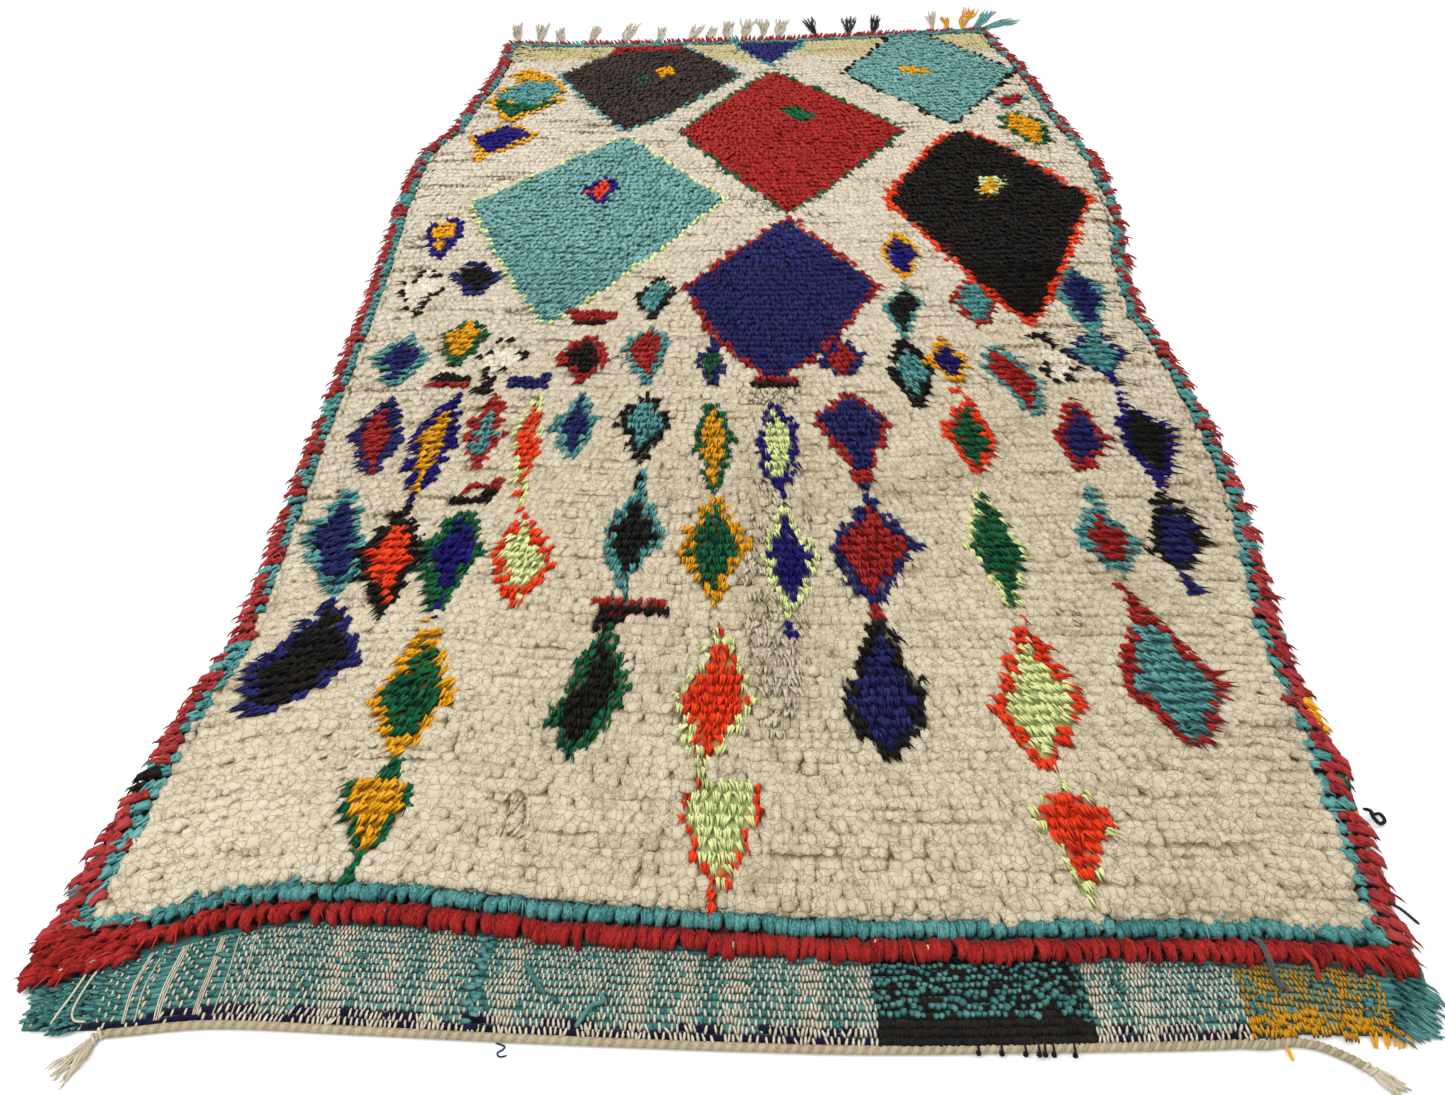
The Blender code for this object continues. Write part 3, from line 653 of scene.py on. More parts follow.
def border_wool(side, front, far, x, y, chance):
    """Wool of a border knot, by how far in metres its root is from each edge; None inside the borders."""
    wobble = 0.003 * rough(x * 30.0, y * 30.0, 9.0)
    red_depth = red_rows(x)
    if front + wobble < red_depth:
        return "red"
    if front + 3 * wobble < red_depth + NEAR_TEAL and side > 0.020:
        return "teal"
    if far < FAR_RED:
        return "faded_red" if rough(x * 15.0, 2.0, 2.0) > -0.25 else "teal"
    if far < FAR_TEAL and side > 0.014:
        return "teal"
    for wool, way, bottom, top in PATCHES:
        if x * way > 0 and bottom < y < top and side < 0.014:
            return wool
    red_to, teal_to = side_rows(x, y)
    if side + wobble < red_to:
        return "faded_red" if chance.random() < 0.94 else "teal"
    if side + wobble < teal_to:
        return "teal" if chance.random() < 0.88 else "faded_red"
    return None


def lean(x, y, side):
    """Which way a knot falls: towards the viewer in the middle, outwards along the sides."""
    near_part, far_part = 0.6 + 0.4 * ease(0.1, 0.5, y), ease(0.9, 1.6, y)
    share = math.copysign(min(abs(x) / HALF_WIDTH, 1.0) ** (1.1 - 0.6 * far_part), x)
    turn = (66 + 8 * far_part) * share * near_part
    outward = (60 + 18 * ease(0.8, 1.7, y)) * math.copysign(1.0, x)
    turn += (outward - turn) * ease(0.075, 0.015, side) if side < 0.075 else 0.0
    turn += (16 + 16 * far_part) * rough(x * 9.0, y * 9.0, 3.0)
    return math.radians(-90 + turn)


def knot_step(y):
    """How far apart the knots of the undyed ground are in a row: wider towards the far end."""
    return NEAR_STEP + (FAR_STEP - NEAR_STEP) * ease(0.6, 2.0, y)


def knot_rows():
    """Every knot of the pile, row by row: place, lean, wool, how far in from each edge it is, and its row."""
    chance = random.Random(21)
    knots = []
    for row in range(ROWS):
        t = (row + 0.55) / ROWS
        share = (2 * NEAR_PITCH * t + (FAR_PITCH - NEAR_PITCH) * t * t) / (NEAR_PITCH + FAR_PITCH)
        x = -0.72
        first = True
        while x < 0.80:
            front = edge_at("front", x)
            far = edge_at("far", x)
            y = front + 0.007 + share * (far - front - 0.011)
            y += 0.006 * rough(x * 5.0, row * 0.35, 7.0) * min(1.0, 6 * share * (1 - share))
            y += 0.0022 * rough(x * 27.0, row * 0.9, 17.0)
            left, right = edge_at("left", y), edge_at("right", y)
            if first and x < left + 0.006:
                x = left + 0.006
                first = False
                continue
            first = False
            if x > right - 0.004:
                break
            side = min(x - left, right - x)
            wool = border_wool(side, y - front, far - y, x, y, chance)
            way = lean(x, y, side)
            if wool is None:
                shown_x = (x + 0.012 * math.cos(way)) * 1000 + chance.uniform(-2, 2)
                shown_y = (y + 0.012 * math.sin(way)) * 1000
                wool = charted_wool(shown_x, shown_y, row, chance)
            knots.append((x, y, way, wool, side, y - front, far - y, row))
            x += (knot_step(y) if wool in UNDYED else DYED_STEP) * chance.uniform(0.86, 1.14)
    return knots


def model_tuft(name, sides, start, steps):
    """One tuft, modelled upright: a ring drawn up step by step, sized through and across, closed in a point.
    Gives its corners and triangles, one unit long."""
    bpy.ops.object.select_all(action="DESELECT")
    bpy.ops.mesh.primitive_circle_add(vertices=sides, radius=1.0, fill_type="NGON")
    piece = bpy.context.object
    piece.name = name
    bpy.ops.object.mode_set(mode="EDIT")
    bpy.ops.transform.resize(value=(start[0], start[1], 1.0))
    for lift, through, across in steps:
        bpy.ops.mesh.extrude_region_move(TRANSFORM_OT_translate={"value": (0.0, 0.0, lift)})
        bpy.ops.transform.resize(value=(through, across, 1.0))
    bpy.ops.mesh.merge(type="CENTER")
    bpy.ops.mesh.select_all(action="SELECT")
    bpy.ops.mesh.normals_make_consistent(inside=False)
    bpy.ops.mesh.quads_convert_to_tris()
    bpy.ops.object.mode_set(mode="OBJECT")
    corners = np.array([v.co for v in piece.data.vertices])
    faces = np.array([p.vertices[:] for p in piece.data.polygons])
    bpy.data.objects.remove(piece)
    return corners, faces


def mesh_piece(name, corners, faces, material, facts):
    """A finished piece from joined arrays; facts are its point attributes."""
    mesh = bpy.data.meshes.new(name)
    mesh.vertices.add(len(corners))
    mesh.vertices.foreach_set("co", np.ascontiguousarray(corners, np.float32).ravel())
    mesh.loops.add(faces.size)
    mesh.loops.foreach_set("vertex_index", np.ascontiguousarray(faces, np.int32).ravel())
    mesh.polygons.add(len(faces))
    mesh.polygons.foreach_set("loop_start", np.arange(0, faces.size, faces.shape[1], dtype=np.int32))
    mesh.update(calc_edges=True)
    mesh.validate()
    for label, values in facts.items():
        kind = "FLOAT_VECTOR" if values.ndim == 2 else "FLOAT"
        slot = mesh.attributes.new(label, kind, "POINT")
        slot.data.foreach_set("vector" if values.ndim == 2 else "value", values.astype(np.float32).ravel())
    mesh.shade_smooth()
    piece = bpy.data.objects.new(name, mesh)
    bpy.context.scene.collection.objects.link(piece)
    piece.data.materials.append(material)
    return piece


def lay_tufts(name, tuft, places, material, seam_shade=1.0):
    """Copies of one modelled tuft, joined. Each rises from its root and bends over along its own curve. A
    place is x, y, z, way, length, thickness, width, first slope, last slope, lowest z and tone. The last
    argument sets how dark the painted shade is where the tufts touch and under their tips."""
    corners, faces = tuft
    spots = np.array(places, float)
    x, y, z, way, length, thick, wide, rise, fall, lowest, tone = spots.T
    steps = 16
    t = np.linspace(0, 1, steps + 1)
    eased = np.clip((t - 0.09) / 0.62, 0, 1)
    eased = eased * eased * (3 - 2 * eased)
    slope = rise[:, None] + (fall - rise)[:, None] * eased[None, :]
    middle = (slope[:, 1:] + slope[:, :-1]) / 2
    along = np.cumsum(np.cos(middle), axis=1) / steps * length[:, None]
    up = np.cumsum(np.sin(middle), axis=1) / steps * length[:, None]
    along = np.hstack([np.zeros((len(spots), 1)), along])
    up = np.hstack([np.zeros((len(spots), 1)), up])
    at = np.clip(corners[:, 2], 0, 1) * steps
    low = np.minimum(at.astype(int), steps - 1)
    part = (at - low)[None, :]
    ahead = along[:, low] * (1 - part) + along[:, low + 1] * part
    above = up[:, low] * (1 - part) + up[:, low + 1] * part
    tilt = slope[:, low] * (1 - part) + slope[:, low + 1] * part
    through = corners[None, :, 0] * thick[:, None]
    across = corners[None, :, 1] * wide[:, None]
    ahead = ahead - through * np.sin(tilt)
    above = z[:, None] + above + through * np.cos(tilt)
    above = np.maximum(above, lowest[:, None])
    out = np.empty((len(spots), len(corners), 3))
    out[:, :, 0] = x[:, None] + ahead * np.cos(way)[:, None] - across * np.sin(way)[:, None]
    out[:, :, 1] = y[:, None] + ahead * np.sin(way)[:, None] + across * np.cos(way)[:, None] - MIDDLE
    out[:, :, 2] = above
    offsets = (np.arange(len(spots)) * len(corners))[:, None, None]
    joined = (faces[None, :, :] + offsets).reshape(-1, faces.shape[1])
    seeds = np.random.RandomState(len(spots)).uniform(0, 400, len(spots))
    fibre = np.empty_like(out)
    fibre[:, :, 0] = across * 1000
    fibre[:, :, 1] = corners[None, :, 2] * length[:, None] * 1000
    fibre[:, :, 2] = seeds[:, None]
    # Painted shade at the seams: how near each corner is to its ring's widest, times the seam strength
    rings = np.abs(corners[:, 1]).reshape(-1)
    widest = {round(h, 4): max(rings[np.abs(corners[:, 2] - h) < 1e-4]) for h in corners[:, 2]}
    rim = seam_shade * np.array([r / max(widest[round(h, 4)], 1e-6) for r, h in zip(rings, corners[:, 2])])
    # Painted shadow under each tip, where it hangs over the row in front
    rim[corners[:, 2] > 0.999 * corners[:, 2].max()] = min(seam_shade + 0.15, 1.0)
    facts = {
        "fibre": fibre.reshape(-1, 3),
        "tone": np.repeat(tone, len(corners)),
        "depth": np.tile(corners[:, 2], len(spots)),
        "rim": np.tile(rim, len(spots)),
    }
    return mesh_piece(name, out.reshape(-1, 3), joined, material, facts)


def ground_tone(x, y):
    """How pale the ground wool is: browner along the middle of the near half, whiter at the far end."""
    tone = 0.42 + 0.34 * ease(0.7, 2.0, y) + 0.10 * ease(-0.10, -0.60, x)
    tone -= 0.08 * math.exp(-((x - 0.05) / 0.07) ** 2) * ease(0.25, 0.4, y) * (1 - ease(0.8, 1.0, y))
    tone -= 0.10 * max(0.0, rough(x * 6.0, y * 4.0, 20.0))
    return tone


def shagginess(x, y):
    """Chance that a ground knot's yarn has come apart into long strands, high in a few worn patches."""
    worn = 0.0
    for place, up, wide, long in SHAGGY:
        worn = max(worn, 1.3 - ((x - place) / wide) ** 2 - ((y - up) / long) ** 2)
    return max(min(worn, 0.8), min(rough(x * 8.0, y * 7.0, 30.0) * 2.2 - 1.0, 0.55))


def lock_strands(x, y, way, count, spread, width, tone, chance):
    """Roots, ways, widths and tones of one knot's strands, which lean together into a point."""
    for k in range(count):
        aside = ((k + 0.5) / count - 0.5) * spread + chance.uniform(-0.0007, 0.0007)
        at_x, at_y = beside(x, y, way, aside, chance.uniform(-0.0030, 0.0030))
        turned = way - aside * FAN + chance.gauss(0, 0.07)
        yield at_x, at_y, turned, width * chance.uniform(0.85, 1.2), tone + chance.uniform(-0.15, 0.15)


def curl_near_border(chance):
    """Places of the near border's knots: fat red curls with teal ones behind, straighter at its ends."""
    places = defaultdict(list)
    x = -0.690
    while x < 0.700:
        depth = red_rows(x)
        uncurled = max(ease(-0.52, -0.62, x), ease(0.57, 0.65, x))
        backs = [0.0245]
        if depth >= 0.040:
            backs = [0.012 + 0.0125 * k for k in range(round((depth - 0.004) / 0.0125))]
        tilt = 0.42 * rough(x * 22.0, 5.0, 5.0) + chance.gauss(0, 0.10)
        for wool, back in [("red", back) for back in backs] + [("teal", depth + 0.0108)]:
            y = edge_at("front", x) + back + chance.uniform(-0.0022, 0.0022)
            side = min(x - edge_at("left", y), edge_at("right", y) - x)
            if side < (0.020 if wool == "teal" else 0.005):
                continue
            way = lean(x, y, side) + tilt
            way += (math.radians(-153 if x < 0 else -40) - way) * uncurled
            low = 0.0068 if back < 0.030 else 0.004
            size = chance.uniform(0.90, 1.08) * (1 - 0.25 * uncurled)
            shade = chance.uniform(-0.10, 0.10)
            reach = CURL_YARN[wool] * size * (1 - 0.18 * uncurled * (x < 0))
            rise = math.radians(88 - 18 * uncurled)
            for aside in (-0.0043, 0.0, 0.0043):
                turned = way - aside * FAN + chance.gauss(0, 0.13)
                at_x, at_y = beside(x, y, way, aside)
                at_y += chance.uniform(-0.001, 0.001)
                long = reach * chance.uniform(0.92, 1.06)
                thick = 0.0046 * chance.uniform(0.9, 1.1)
                wide = 0.0045 * chance.uniform(0.85, 1.2)
                fall = math.radians(-114 + 70 * uncurled + chance.gauss(0, 10))
                tone = 0.44 + shade + chance.uniform(-0.12, 0.12)
                places["border_" + wool, "roll"].append((
                    at_x, at_y, ROOTS, turned, long, thick, wide, rise, fall, low, tone))
            for _ in range(3):
                loose = "ivory" if wool == "red" and chance.random() < 0.04 else wool
                at_x, at_y = beside(x, y, way, chance.uniform(-0.0065, 0.0065))
                at_y += chance.uniform(0.001, 0.005)
                turned = way + chance.gauss(0, 0.28)
                long = reach * chance.uniform(0.95, 1.15)
                fall = math.radians(-104 + 60 * uncurled + chance.gauss(0, 16))
                tone = 0.55 + chance.uniform(-0.3, 0.3)
                places["border_" + loose, "strand"].append((
                    at_x, at_y, 0.006, turned, long, 0.0012, 0.0011, rise, fall, low, tone))
        x += CURL_STEP * chance.uniform(0.94, 1.06)
    return places


def sort_knots(knots):
    """Places for lay_tufts, by piece and kind of tuft: fat lobes for the ground wool, curls for the near
    border, finer strands for the other dyed wools."""
    chance = random.Random(4)
    places = curl_near_border(chance)
    for x, y, way, wool, side, front, far, row in knots:
        swell = PILE_WAVE * rough(x * 4.5, y * 4.5, 2.0)
        lowest = 0.0008 if min(side, far) < 0.03 else 0.004
        length, rise, fall = GROUND_YARN + swell, math.radians(86), math.radians(-12)
        half = "near" if y < NEAR_ROWS else "middle" if y < NEAR_HALF else "far"
        step = knot_step(y)
        border = side < SIDE_BORDER or front < NEAR_BORDER or far < FAR_TEAL
        if side < SIDE_BORDER:
            length, fall = SIDE_YARN, math.radians(-42)
        if far < FAR_RED:
            way, length, fall = -way, FAR_YARN, math.radians(30)
        way += chance.gauss(0, 0.17)
        corner = x > 0 and side < 0.024 and front > 0.028
        if front < red_rows(x) + NEAR_TEAL and wool in ("red", "teal") and not corner:
            continue

        if border and wool in ("red", "faded_red", "teal", "gold", "black", "green"):
            tone = 0.50 + chance.uniform(-0.12, 0.12)
            if wool == "teal" and far > FAR_RED:
                length = TEAL_YARN
            name = "border_side_" + wool
            broad = (0.0078 - 0.0022 * ease(0.25, 0.6, y)) * chance.uniform(0.9, 1.1)
            long = length * chance.uniform(1.0, 1.25)
            end = fall + chance.gauss(0, 0.15)
            places[name, "wedge"].append((x, y, ROOTS, way, long, 0.0042, broad, rise, end, lowest, tone))
            count = 2 if y < 0.25 or far < 0.036 else 3
            strands = lock_strands(x, y, way, count, 0.0100, 0.0018, tone, chance)
            for at_x, at_y, turned, broad, tone in strands:
                turned += chance.gauss(0, 0.15)
                long = length * chance.uniform(1.05, 1.35)
                end = fall + chance.gauss(0, 0.2)
                places[name, "strand"].append((
                    at_x, at_y, 0.004, turned, long, 0.0018, broad, rise, end, lowest, tone))
            continue

        if wool in UNDYED:
            tone = ground_tone(x, y) + chance.uniform(-0.07, 0.07) + (0.3 if wool == "white" else 0.0)
            name = "pile_straw" if wool == "straw" else "pile_ivory"
            if chance.random() < shagginess(x, y):
                strands = lock_strands(x, y, way, 4, 0.0115, 0.0032, tone + 0.1, chance)
                for at_x, at_y, turned, broad, shade in strands:
                    long = length * chance.uniform(0.88, 1.04)
                    end = fall + chance.gauss(0, 0.20)
                    places[name + "_shag", "strand"].append((
                        at_x, at_y, ROOTS, turned, long, 0.0026, broad, rise, end, lowest, shade))
                continue
            aside = abs(math.cos(way))
            spread = 1.0 + 0.18 * aside
            if front < 0.062:
                length -= 0.008
                y += 0.006
            elif side < 0.052:
                length -= 0.005
            size = chance.uniform(0.78, 1.32)
            groove = 1.0 - 0.20 * ease(0.18, 0.40, rough(x * 6.0, row * 0.9, 40.0))
            at_x = x + chance.uniform(-0.0016, 0.0016)
            at_y = y + chance.uniform(-0.0014, 0.0014)
            turned = way + chance.gauss(0, 0.12)
            long = length * groove * chance.uniform(0.96, 1.06)
            thick = 0.0048 * chance.uniform(0.9, 1.12)
            broad = step / 2 * 1.72 * size * spread
            end = fall - 0.40 * aside + chance.gauss(0, 0.10)
            places[name, "lobe_" + half].append((
                at_x, at_y, ROOTS, turned, long, thick, broad, rise, end, lowest, tone))
            continue

        base = 0.47 + 0.10 * ease(1.2, 2.2, y) + chance.uniform(-0.10, 0.10)
        name = ("border_side_" if border else "pile_") + wool
        fine = y < NEAR_HALF or border
        count, width, kind = (5, 0.0021, "fine_strand") if fine else (2, 0.0056, "far_strand")
        fall -= 0.22 * ease(0.9, 1.5, y)
        strands = lock_strands(x, y, way, count, DYED_STEP, width, base, chance)
        for at_x, at_y, turned, broad, tone in strands:
            long = length * chance.uniform(0.90, 1.16)
            thick = 0.0027 * chance.uniform(0.85, 1.15)
            end = fall + chance.gauss(0, 0.2)
            places[name, kind].append((
                at_x, at_y, ROOTS, turned, long, thick, broad, rise, end, lowest, tone))
    return places


def make_pile():
    """The knotted pile, in pieces by wool and kind of tuft."""
    plain_lobe = ((0.36, 1.6, 1.5), (0.54, 0.92, 0.98), (0.10, 0.3, 0.3))
    forms = {
        "lobe_near": (5, (0.6, 0.6), (
            (0.30, 1.55, 1.5), (0.34, 1.05, 1.15), (0.29, 0.90, 0.93), (0.07, 0.3, 0.3))),
        "lobe_middle": (5, (0.6, 0.65), plain_lobe),
        "lobe_far": (4, (0.6, 0.65), plain_lobe),
        "roll": (4, (0.6, 0.6), (
            (0.22, 1.5, 1.45), (0.15, 1.1, 1.15), (0.14, 1.0, 1.0), (0.15, 1.0, 0.95), (0.27, 0.8, 0.75),
            (0.07, 0.3, 0.3))),
        "wedge": (5, (0.7, 0.7), ((0.34, 1.4, 1.4), (0.34, 0.8, 0.75), (0.32, 0.5, 0.3))),
        "strand": (3, (0.75, 0.75), ((0.42, 1.3, 1.3), (0.36, 0.82, 0.82), (0.22, 0.3, 0.3))),
        "fine_strand": (3, (0.8, 0.8), ((0.46, 1.3, 1.3), (0.54, 0.6, 0.6))),
        "far_strand": (3, (0.8, 0.8), ((0.50, 1.25, 1.25), (0.50, 0.6, 0.6))),
    }
    tufts = {kind: model_tuft(kind, *form) for kind, form in forms.items()}
    wools = {}
    pieces = []
    for (name, kind), places in sorted(sort_knots(knot_rows()).items()):
        wool = name.replace("_shag", "").replace("pile_", "").replace("border_", "").replace("side_", "")
        finish = ("curled_" if kind == "roll" else "hand_spun_") + wool + "_wool"
        if finish not in wools:
            coarse, felted = wool in ("red", "teal"), wool in ("ivory", "straw")
            wools[finish] = spun_wool(
                finish, wool, hair_mm=1.2 if coarse else 1.8, ridge=0.0020 if coarse else 0.0012,
                streaks=0.45 if wool == "ivory" else 1.3, felted=felted,
                locks_mm=5.0 if kind == "roll" else 11.4 if felted else 0.0)
        most = PIECE_FACES // len(tufts[kind][1])
        for k in range(0, len(places), most):
            label = name + "_" + kind + (str(k // most + 1) if len(places) > most else "")
            pieces.append(lay_tufts(label, tufts[kind], places[k:k + most], wools[finish], SEAM_SHADES[kind]))
    return pieces


def warp_wool(x):
    """Wool of the warps at a place across."""
    found = WARPS[0][1]
    for start, wool in WARPS:
        if x >= start:
            found = wool
    return found


def weft_place(x, m):
    """How far up the rug a weft lies at a place across, and how wide it is: finer towards the pile."""
    base = edge_at("near", min(x, 0.5)) - 0.12 * max(0.0, x - 0.5)
    squeeze = min(1.0, (edge_at("front", x) - edge_at("near", x)) / 0.090) if x < -0.3 else 1.0
    up = 0.0038 + 0.0085 * m - 0.00012 * m * m + 0.0022 * rough(x * 34.0, m * 0.8, 3.0)
    return base + up * squeeze, (0.0085 - 0.00024 * m) * squeeze


def weft_wool(x, m):
    """Wool of a weft at a place across."""
    if warp_wool(x) == "black" and m < 3:
        return "black"
    patch = rough(x * 24.0, m * 9.0, 1.0)
    low = m == 0 or m == 1 and patch > -0.1 or warp_wool(x) == "gold" and m < 4 and patch > 0.1
    return "weft_navy" if low and (x > -0.56 or m == 0 and x > -0.66) else "weft_teal"


def make_wefts():
    """The wefts of the flat-woven end: thick, hardly spun yarns side by side."""
    yarns = defaultdict(list)
    for m in range(WEFTS):
        run, wool = [], None
        for x in np.arange(-0.70, 0.72, 0.006):
            y, pitch = weft_place(x, m)
            gap = edge_at("front", x) - y
            there = edge_at("left", y) + 0.002 < x < edge_at("right", y) - 0.002
            there = there and gap > -0.019 and y > edge_at("near", x) + 0.002
            found = weft_wool(x, m) if there else None
            if there and warp_wool(x) == "black":
                found = "black"
            if found != wool and len(run) > 1:
                yarns[wool].append(run)
            if found != wool:
                run, wool = run[-1:] if found and wool else [], found
            if there:
                wave = rough(x * 60.0, m * 3.7, 5.0)
                lift = 0.0006 * rough(x * 90.0, m * 2.3, 15.0)
                run.append((x, y - MIDDLE + 0.0006 * wave, 0.0034 + lift, pitch * (0.50 + 0.07 * wave)))
        if len(run) > 1:
            yarns[wool].append(run)
    pieces = []
    for wool, runs in sorted(yarns.items()):
        laid = [(np.array(run)[:, :3], np.array(run)[:, 3]) for run in runs]
        material = spun_wool("unspun_" + wool + "_weft", wool, hair_mm=1.0)
        pieces.append(yarns_piece("weft_" + wool, laid, material, sides=6, flat=0.62))
    return pieces


def warp_places():
    """Places of the warps across: bunched here and there, and scarce towards the left end."""
    chance = random.Random(8)
    places, x = [], -0.680
    while x < 0.690:
        places.append(x)
        finer = 1.0 + 1.2 * ease(-0.45, -0.50, x)
        bunch = min(max(2.6 * rough(x * 40.0 * finer, 0.0, 0.0) + 0.25, -1.0), 1.0)
        step = 0.0028 - 0.0009 * max(bunch, 0.0) + 0.0014 * max(-bunch, 0.0)
        if warp_wool(x) == "black":
            step = 0.0034 - 0.0011 * max(bunch, 0.0)
        step += 0.0140 * ease(-0.46, -0.58, x) * max(0.0, 0.4 - bunch)
        x += step * chance.uniform(0.9, 1.1)
    return places


def sway(x, y):
    """How far sideways a warp has wandered at a place, most at the left end."""
    return (0.006 + 0.010 * ease(-0.40, -0.55, x)) * rough(x * 5.0, y * 16.0, 2.0)


def show_weft(found, wool, x, m, at, y, pitch, free, column, chance):
    """The stretch of a weft that shows between two warps: longer if it is loose, a bead by black warps."""
    bead = wool == "black"
    loose = column or m > 0 and chance.random() < (0.09 if bead else 0.03)
    if free <= 0.0046 or bead and chance.random() < 0.20:
        return
    low_bead = bead and m < 7 and chance.random() < 0.30
    raised = loose or bead
    long = free * (1.6 if loose else 1.45 if low_bead else chance.uniform(0.82, 1.1) if bead else 0.85)
    broad = pitch * chance.uniform(0.43, 0.52) * (1.2 if low_bead else 1.0)
    at_y = y + (chance.uniform(-0.0013, 0.0013) if bead else 0.0)
    way = math.radians(chance.gauss(0, 34 if low_bead else 14 if raised else 5))
    tone = 0.52 + chance.uniform(-0.2, 0.2)
    found[weft_wool(x, m)].append((
        at - long / 2, at_y, 0.0056 if raised else 0.0046, way, long, 0.0030 if raised else 0.0021, broad,
        math.radians(22), math.radians(-22), 0.003, tone))


def show_warp(found, wool, x, m, at, y, pitch, up, dense, chance):
    """The stretch of a warp that shows over one weft; a few have worn away."""
    way = math.pi / 2 - math.atan((sway(x, y + 0.004) - sway(x, y - 0.004)) / 0.008)
    way += math.radians(chance.gauss(0, 11 if up < 0.018 else 8))
    if dense and wool == "gold":
        y += chance.uniform(-0.0025, 0.0025)
    if chance.random() < 0.05 and not dense:
        return
    y += pitch * 0.30 * rough(x * 150.0, m * 1.7, 8.0)
    length = pitch * (1.75 if up < 0.018 else 1.60) * chance.uniform(0.85, 1.12)
    broad = (0.0017 if wool == "black" else 0.0014) * chance.uniform(0.85, 1.2)
    tone = 0.55 + chance.uniform(-0.16, 0.16)
    found[{"ivory": "warp", "gold": "warp_gold"}.get(wool, wool)].append((
        at - length / 2 * math.cos(way), y - length / 2, 0.0046, way, length, 0.0012, broad,
        math.radians(48), math.radians(-40), 0.0028, tone))


def corner_wefts(found, chance):
    """Wefts that come out past the last warps at both corners, ragged at the right one."""
    for m in range(WEFTS):
        for which, x, turn, long, count, inset, lift in CORNER_WEFTS:
            y = weft_place(x, m)[0]
            edge = edge_at(which, y)
            if not edge_at("near", edge) - 0.004 < y < edge_at("front", edge) + 0.004:
                continue
            for k in range(count):
                at = edge + math.copysign(chance.uniform(*inset), -x)
                way = math.radians(turn) + math.radians(chance.gauss(0, 9))
                reach = long * chance.uniform(0.75, 1.1)
                tone = 0.5 + chance.uniform(-0.25, 0.25)
                found["weft_teal"].append((
                    at, y + 0.0011 * (k - 3.5), lift, way, reach, 0.0017, 0.0017,
                    math.radians(20), math.radians(-30), 0.0006, tone))


def make_flat_weave():
    """The flat-woven end: thin warps pass over every other thick weft, and a few loose wefts over them."""
    chance = random.Random(9)
    stitch = model_tuft("stitch", 4, (0.55, 0.55), ((0.22, 1.8, 1.8), (0.50, 1.0, 1.0), (0.28, 0.4, 0.4)))
    found, bundles = defaultdict(list), defaultdict(list)
    places = warp_places()
    for k, x in enumerate(places):
        wool = warp_wool(x)
        after = places[min(k + 1, len(places) - 1)]
        free = after - places[max(k - 1, 0)]
        column = abs(x - LOOSE_COLUMN) < 0.0055
        for m in range(WEFTS):
            y, pitch = weft_place(x, m)
            at = x + sway(x, y)
            up = y - edge_at("near", x)
            inner = edge_at("left", y) + 0.002 < at < edge_at("right", y) - 0.002
            if wool == "teal" or not inner or up < 0 or y > edge_at("front", x) + 0.008:
                continue
            if x < BUNDLED_TO and after - x < 0.0025:
                bundles[k].append((at, y - MIDDLE, 0.0064 + 0.0006 * ((k + m) % 2)))
                continue
            dense = wool == "gold" and up < 0.020 or wool == "black" and m < 3
            if (k + m) % 2 and not dense:
                show_weft(found, wool, x, m, at, y, pitch, free, column, chance)
                continue
            if column and abs(x - LOOSE_COLUMN) < 0.0016 and m % 2:
                for long, aside, turn in ((0.0135, -0.0035, 8), (0.0115, 0.0035, -10)):
                    way = math.radians(turn + chance.gauss(0, 6))
                    tone = 0.70 + chance.uniform(-0.1, 0.1)
                    found["weft_teal"].append((
                        at + aside - long / 2, y + aside * 1.1, 0.0062, way, long, 0.0032, 0.0033,
                        math.radians(30), math.radians(-30), 0.003, tone))
            if column and m % 3:
                continue
            show_warp(found, wool, x, m, at, y, pitch, up, dense, chance)
    corner_wefts(found, chance)
    pieces = []
    for wool, spots in sorted(found.items()):
        material = spun_wool("plied_" + wool + "_yarn", wool, hair_mm=0.5 if wool == "warp" else 1.0)
        pieces.append(lay_tufts("flat_weave_" + wool, stitch, spots, material))
        if wool == "warp":
            # Bundled warps at the left end run on over every weft
            laid = [(np.array(run), np.full(len(run), 0.0008)) for run in bundles.values() if len(run) > 2]
            pieces.append(yarns_piece("flat_weave_bundled_warps", laid, material, sides=4))
    return pieces


def bed_look(x, y, near, front, far, side):
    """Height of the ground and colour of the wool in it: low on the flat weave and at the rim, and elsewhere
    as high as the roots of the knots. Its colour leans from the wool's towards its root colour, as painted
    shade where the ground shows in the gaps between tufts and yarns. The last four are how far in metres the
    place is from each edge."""
    if front < 0.018:
        wool = "black" if warp_wool(x) == "black" and near < 0.022 else "weft_teal"
        root, usual = WOOLS[wool][:2]
        share = 0.75
    else:
        wool = border_wool(side, max(front, 0.0), far, x, y, BED_CHANCE)
        wool = wool or charted_wool(x * 1000, y * 1000, 0, BED_CHANCE)
        root, usual = WOOLS["ivory" if wool == "white" else wool][:2]
        share = 0.65 if wool in UNDYED else 0.35 + 0.27 * ease(0.9, 1.5, y)
    rise = ease(0.040, 0.075, front) * ease(0.030, 0.090, side) * ease(0.0, 0.012, far)
    height = LOW_BED + (BED - LOW_BED + 0.0012 * rough(x * 60.0, y * 60.0, 0.0)) * rise
    # Painted shade: a share of the way from the root colour to the usual one
    return height, [a + (b - a) * share for a, b in zip(hex_colour(root), hex_colour(usual))]


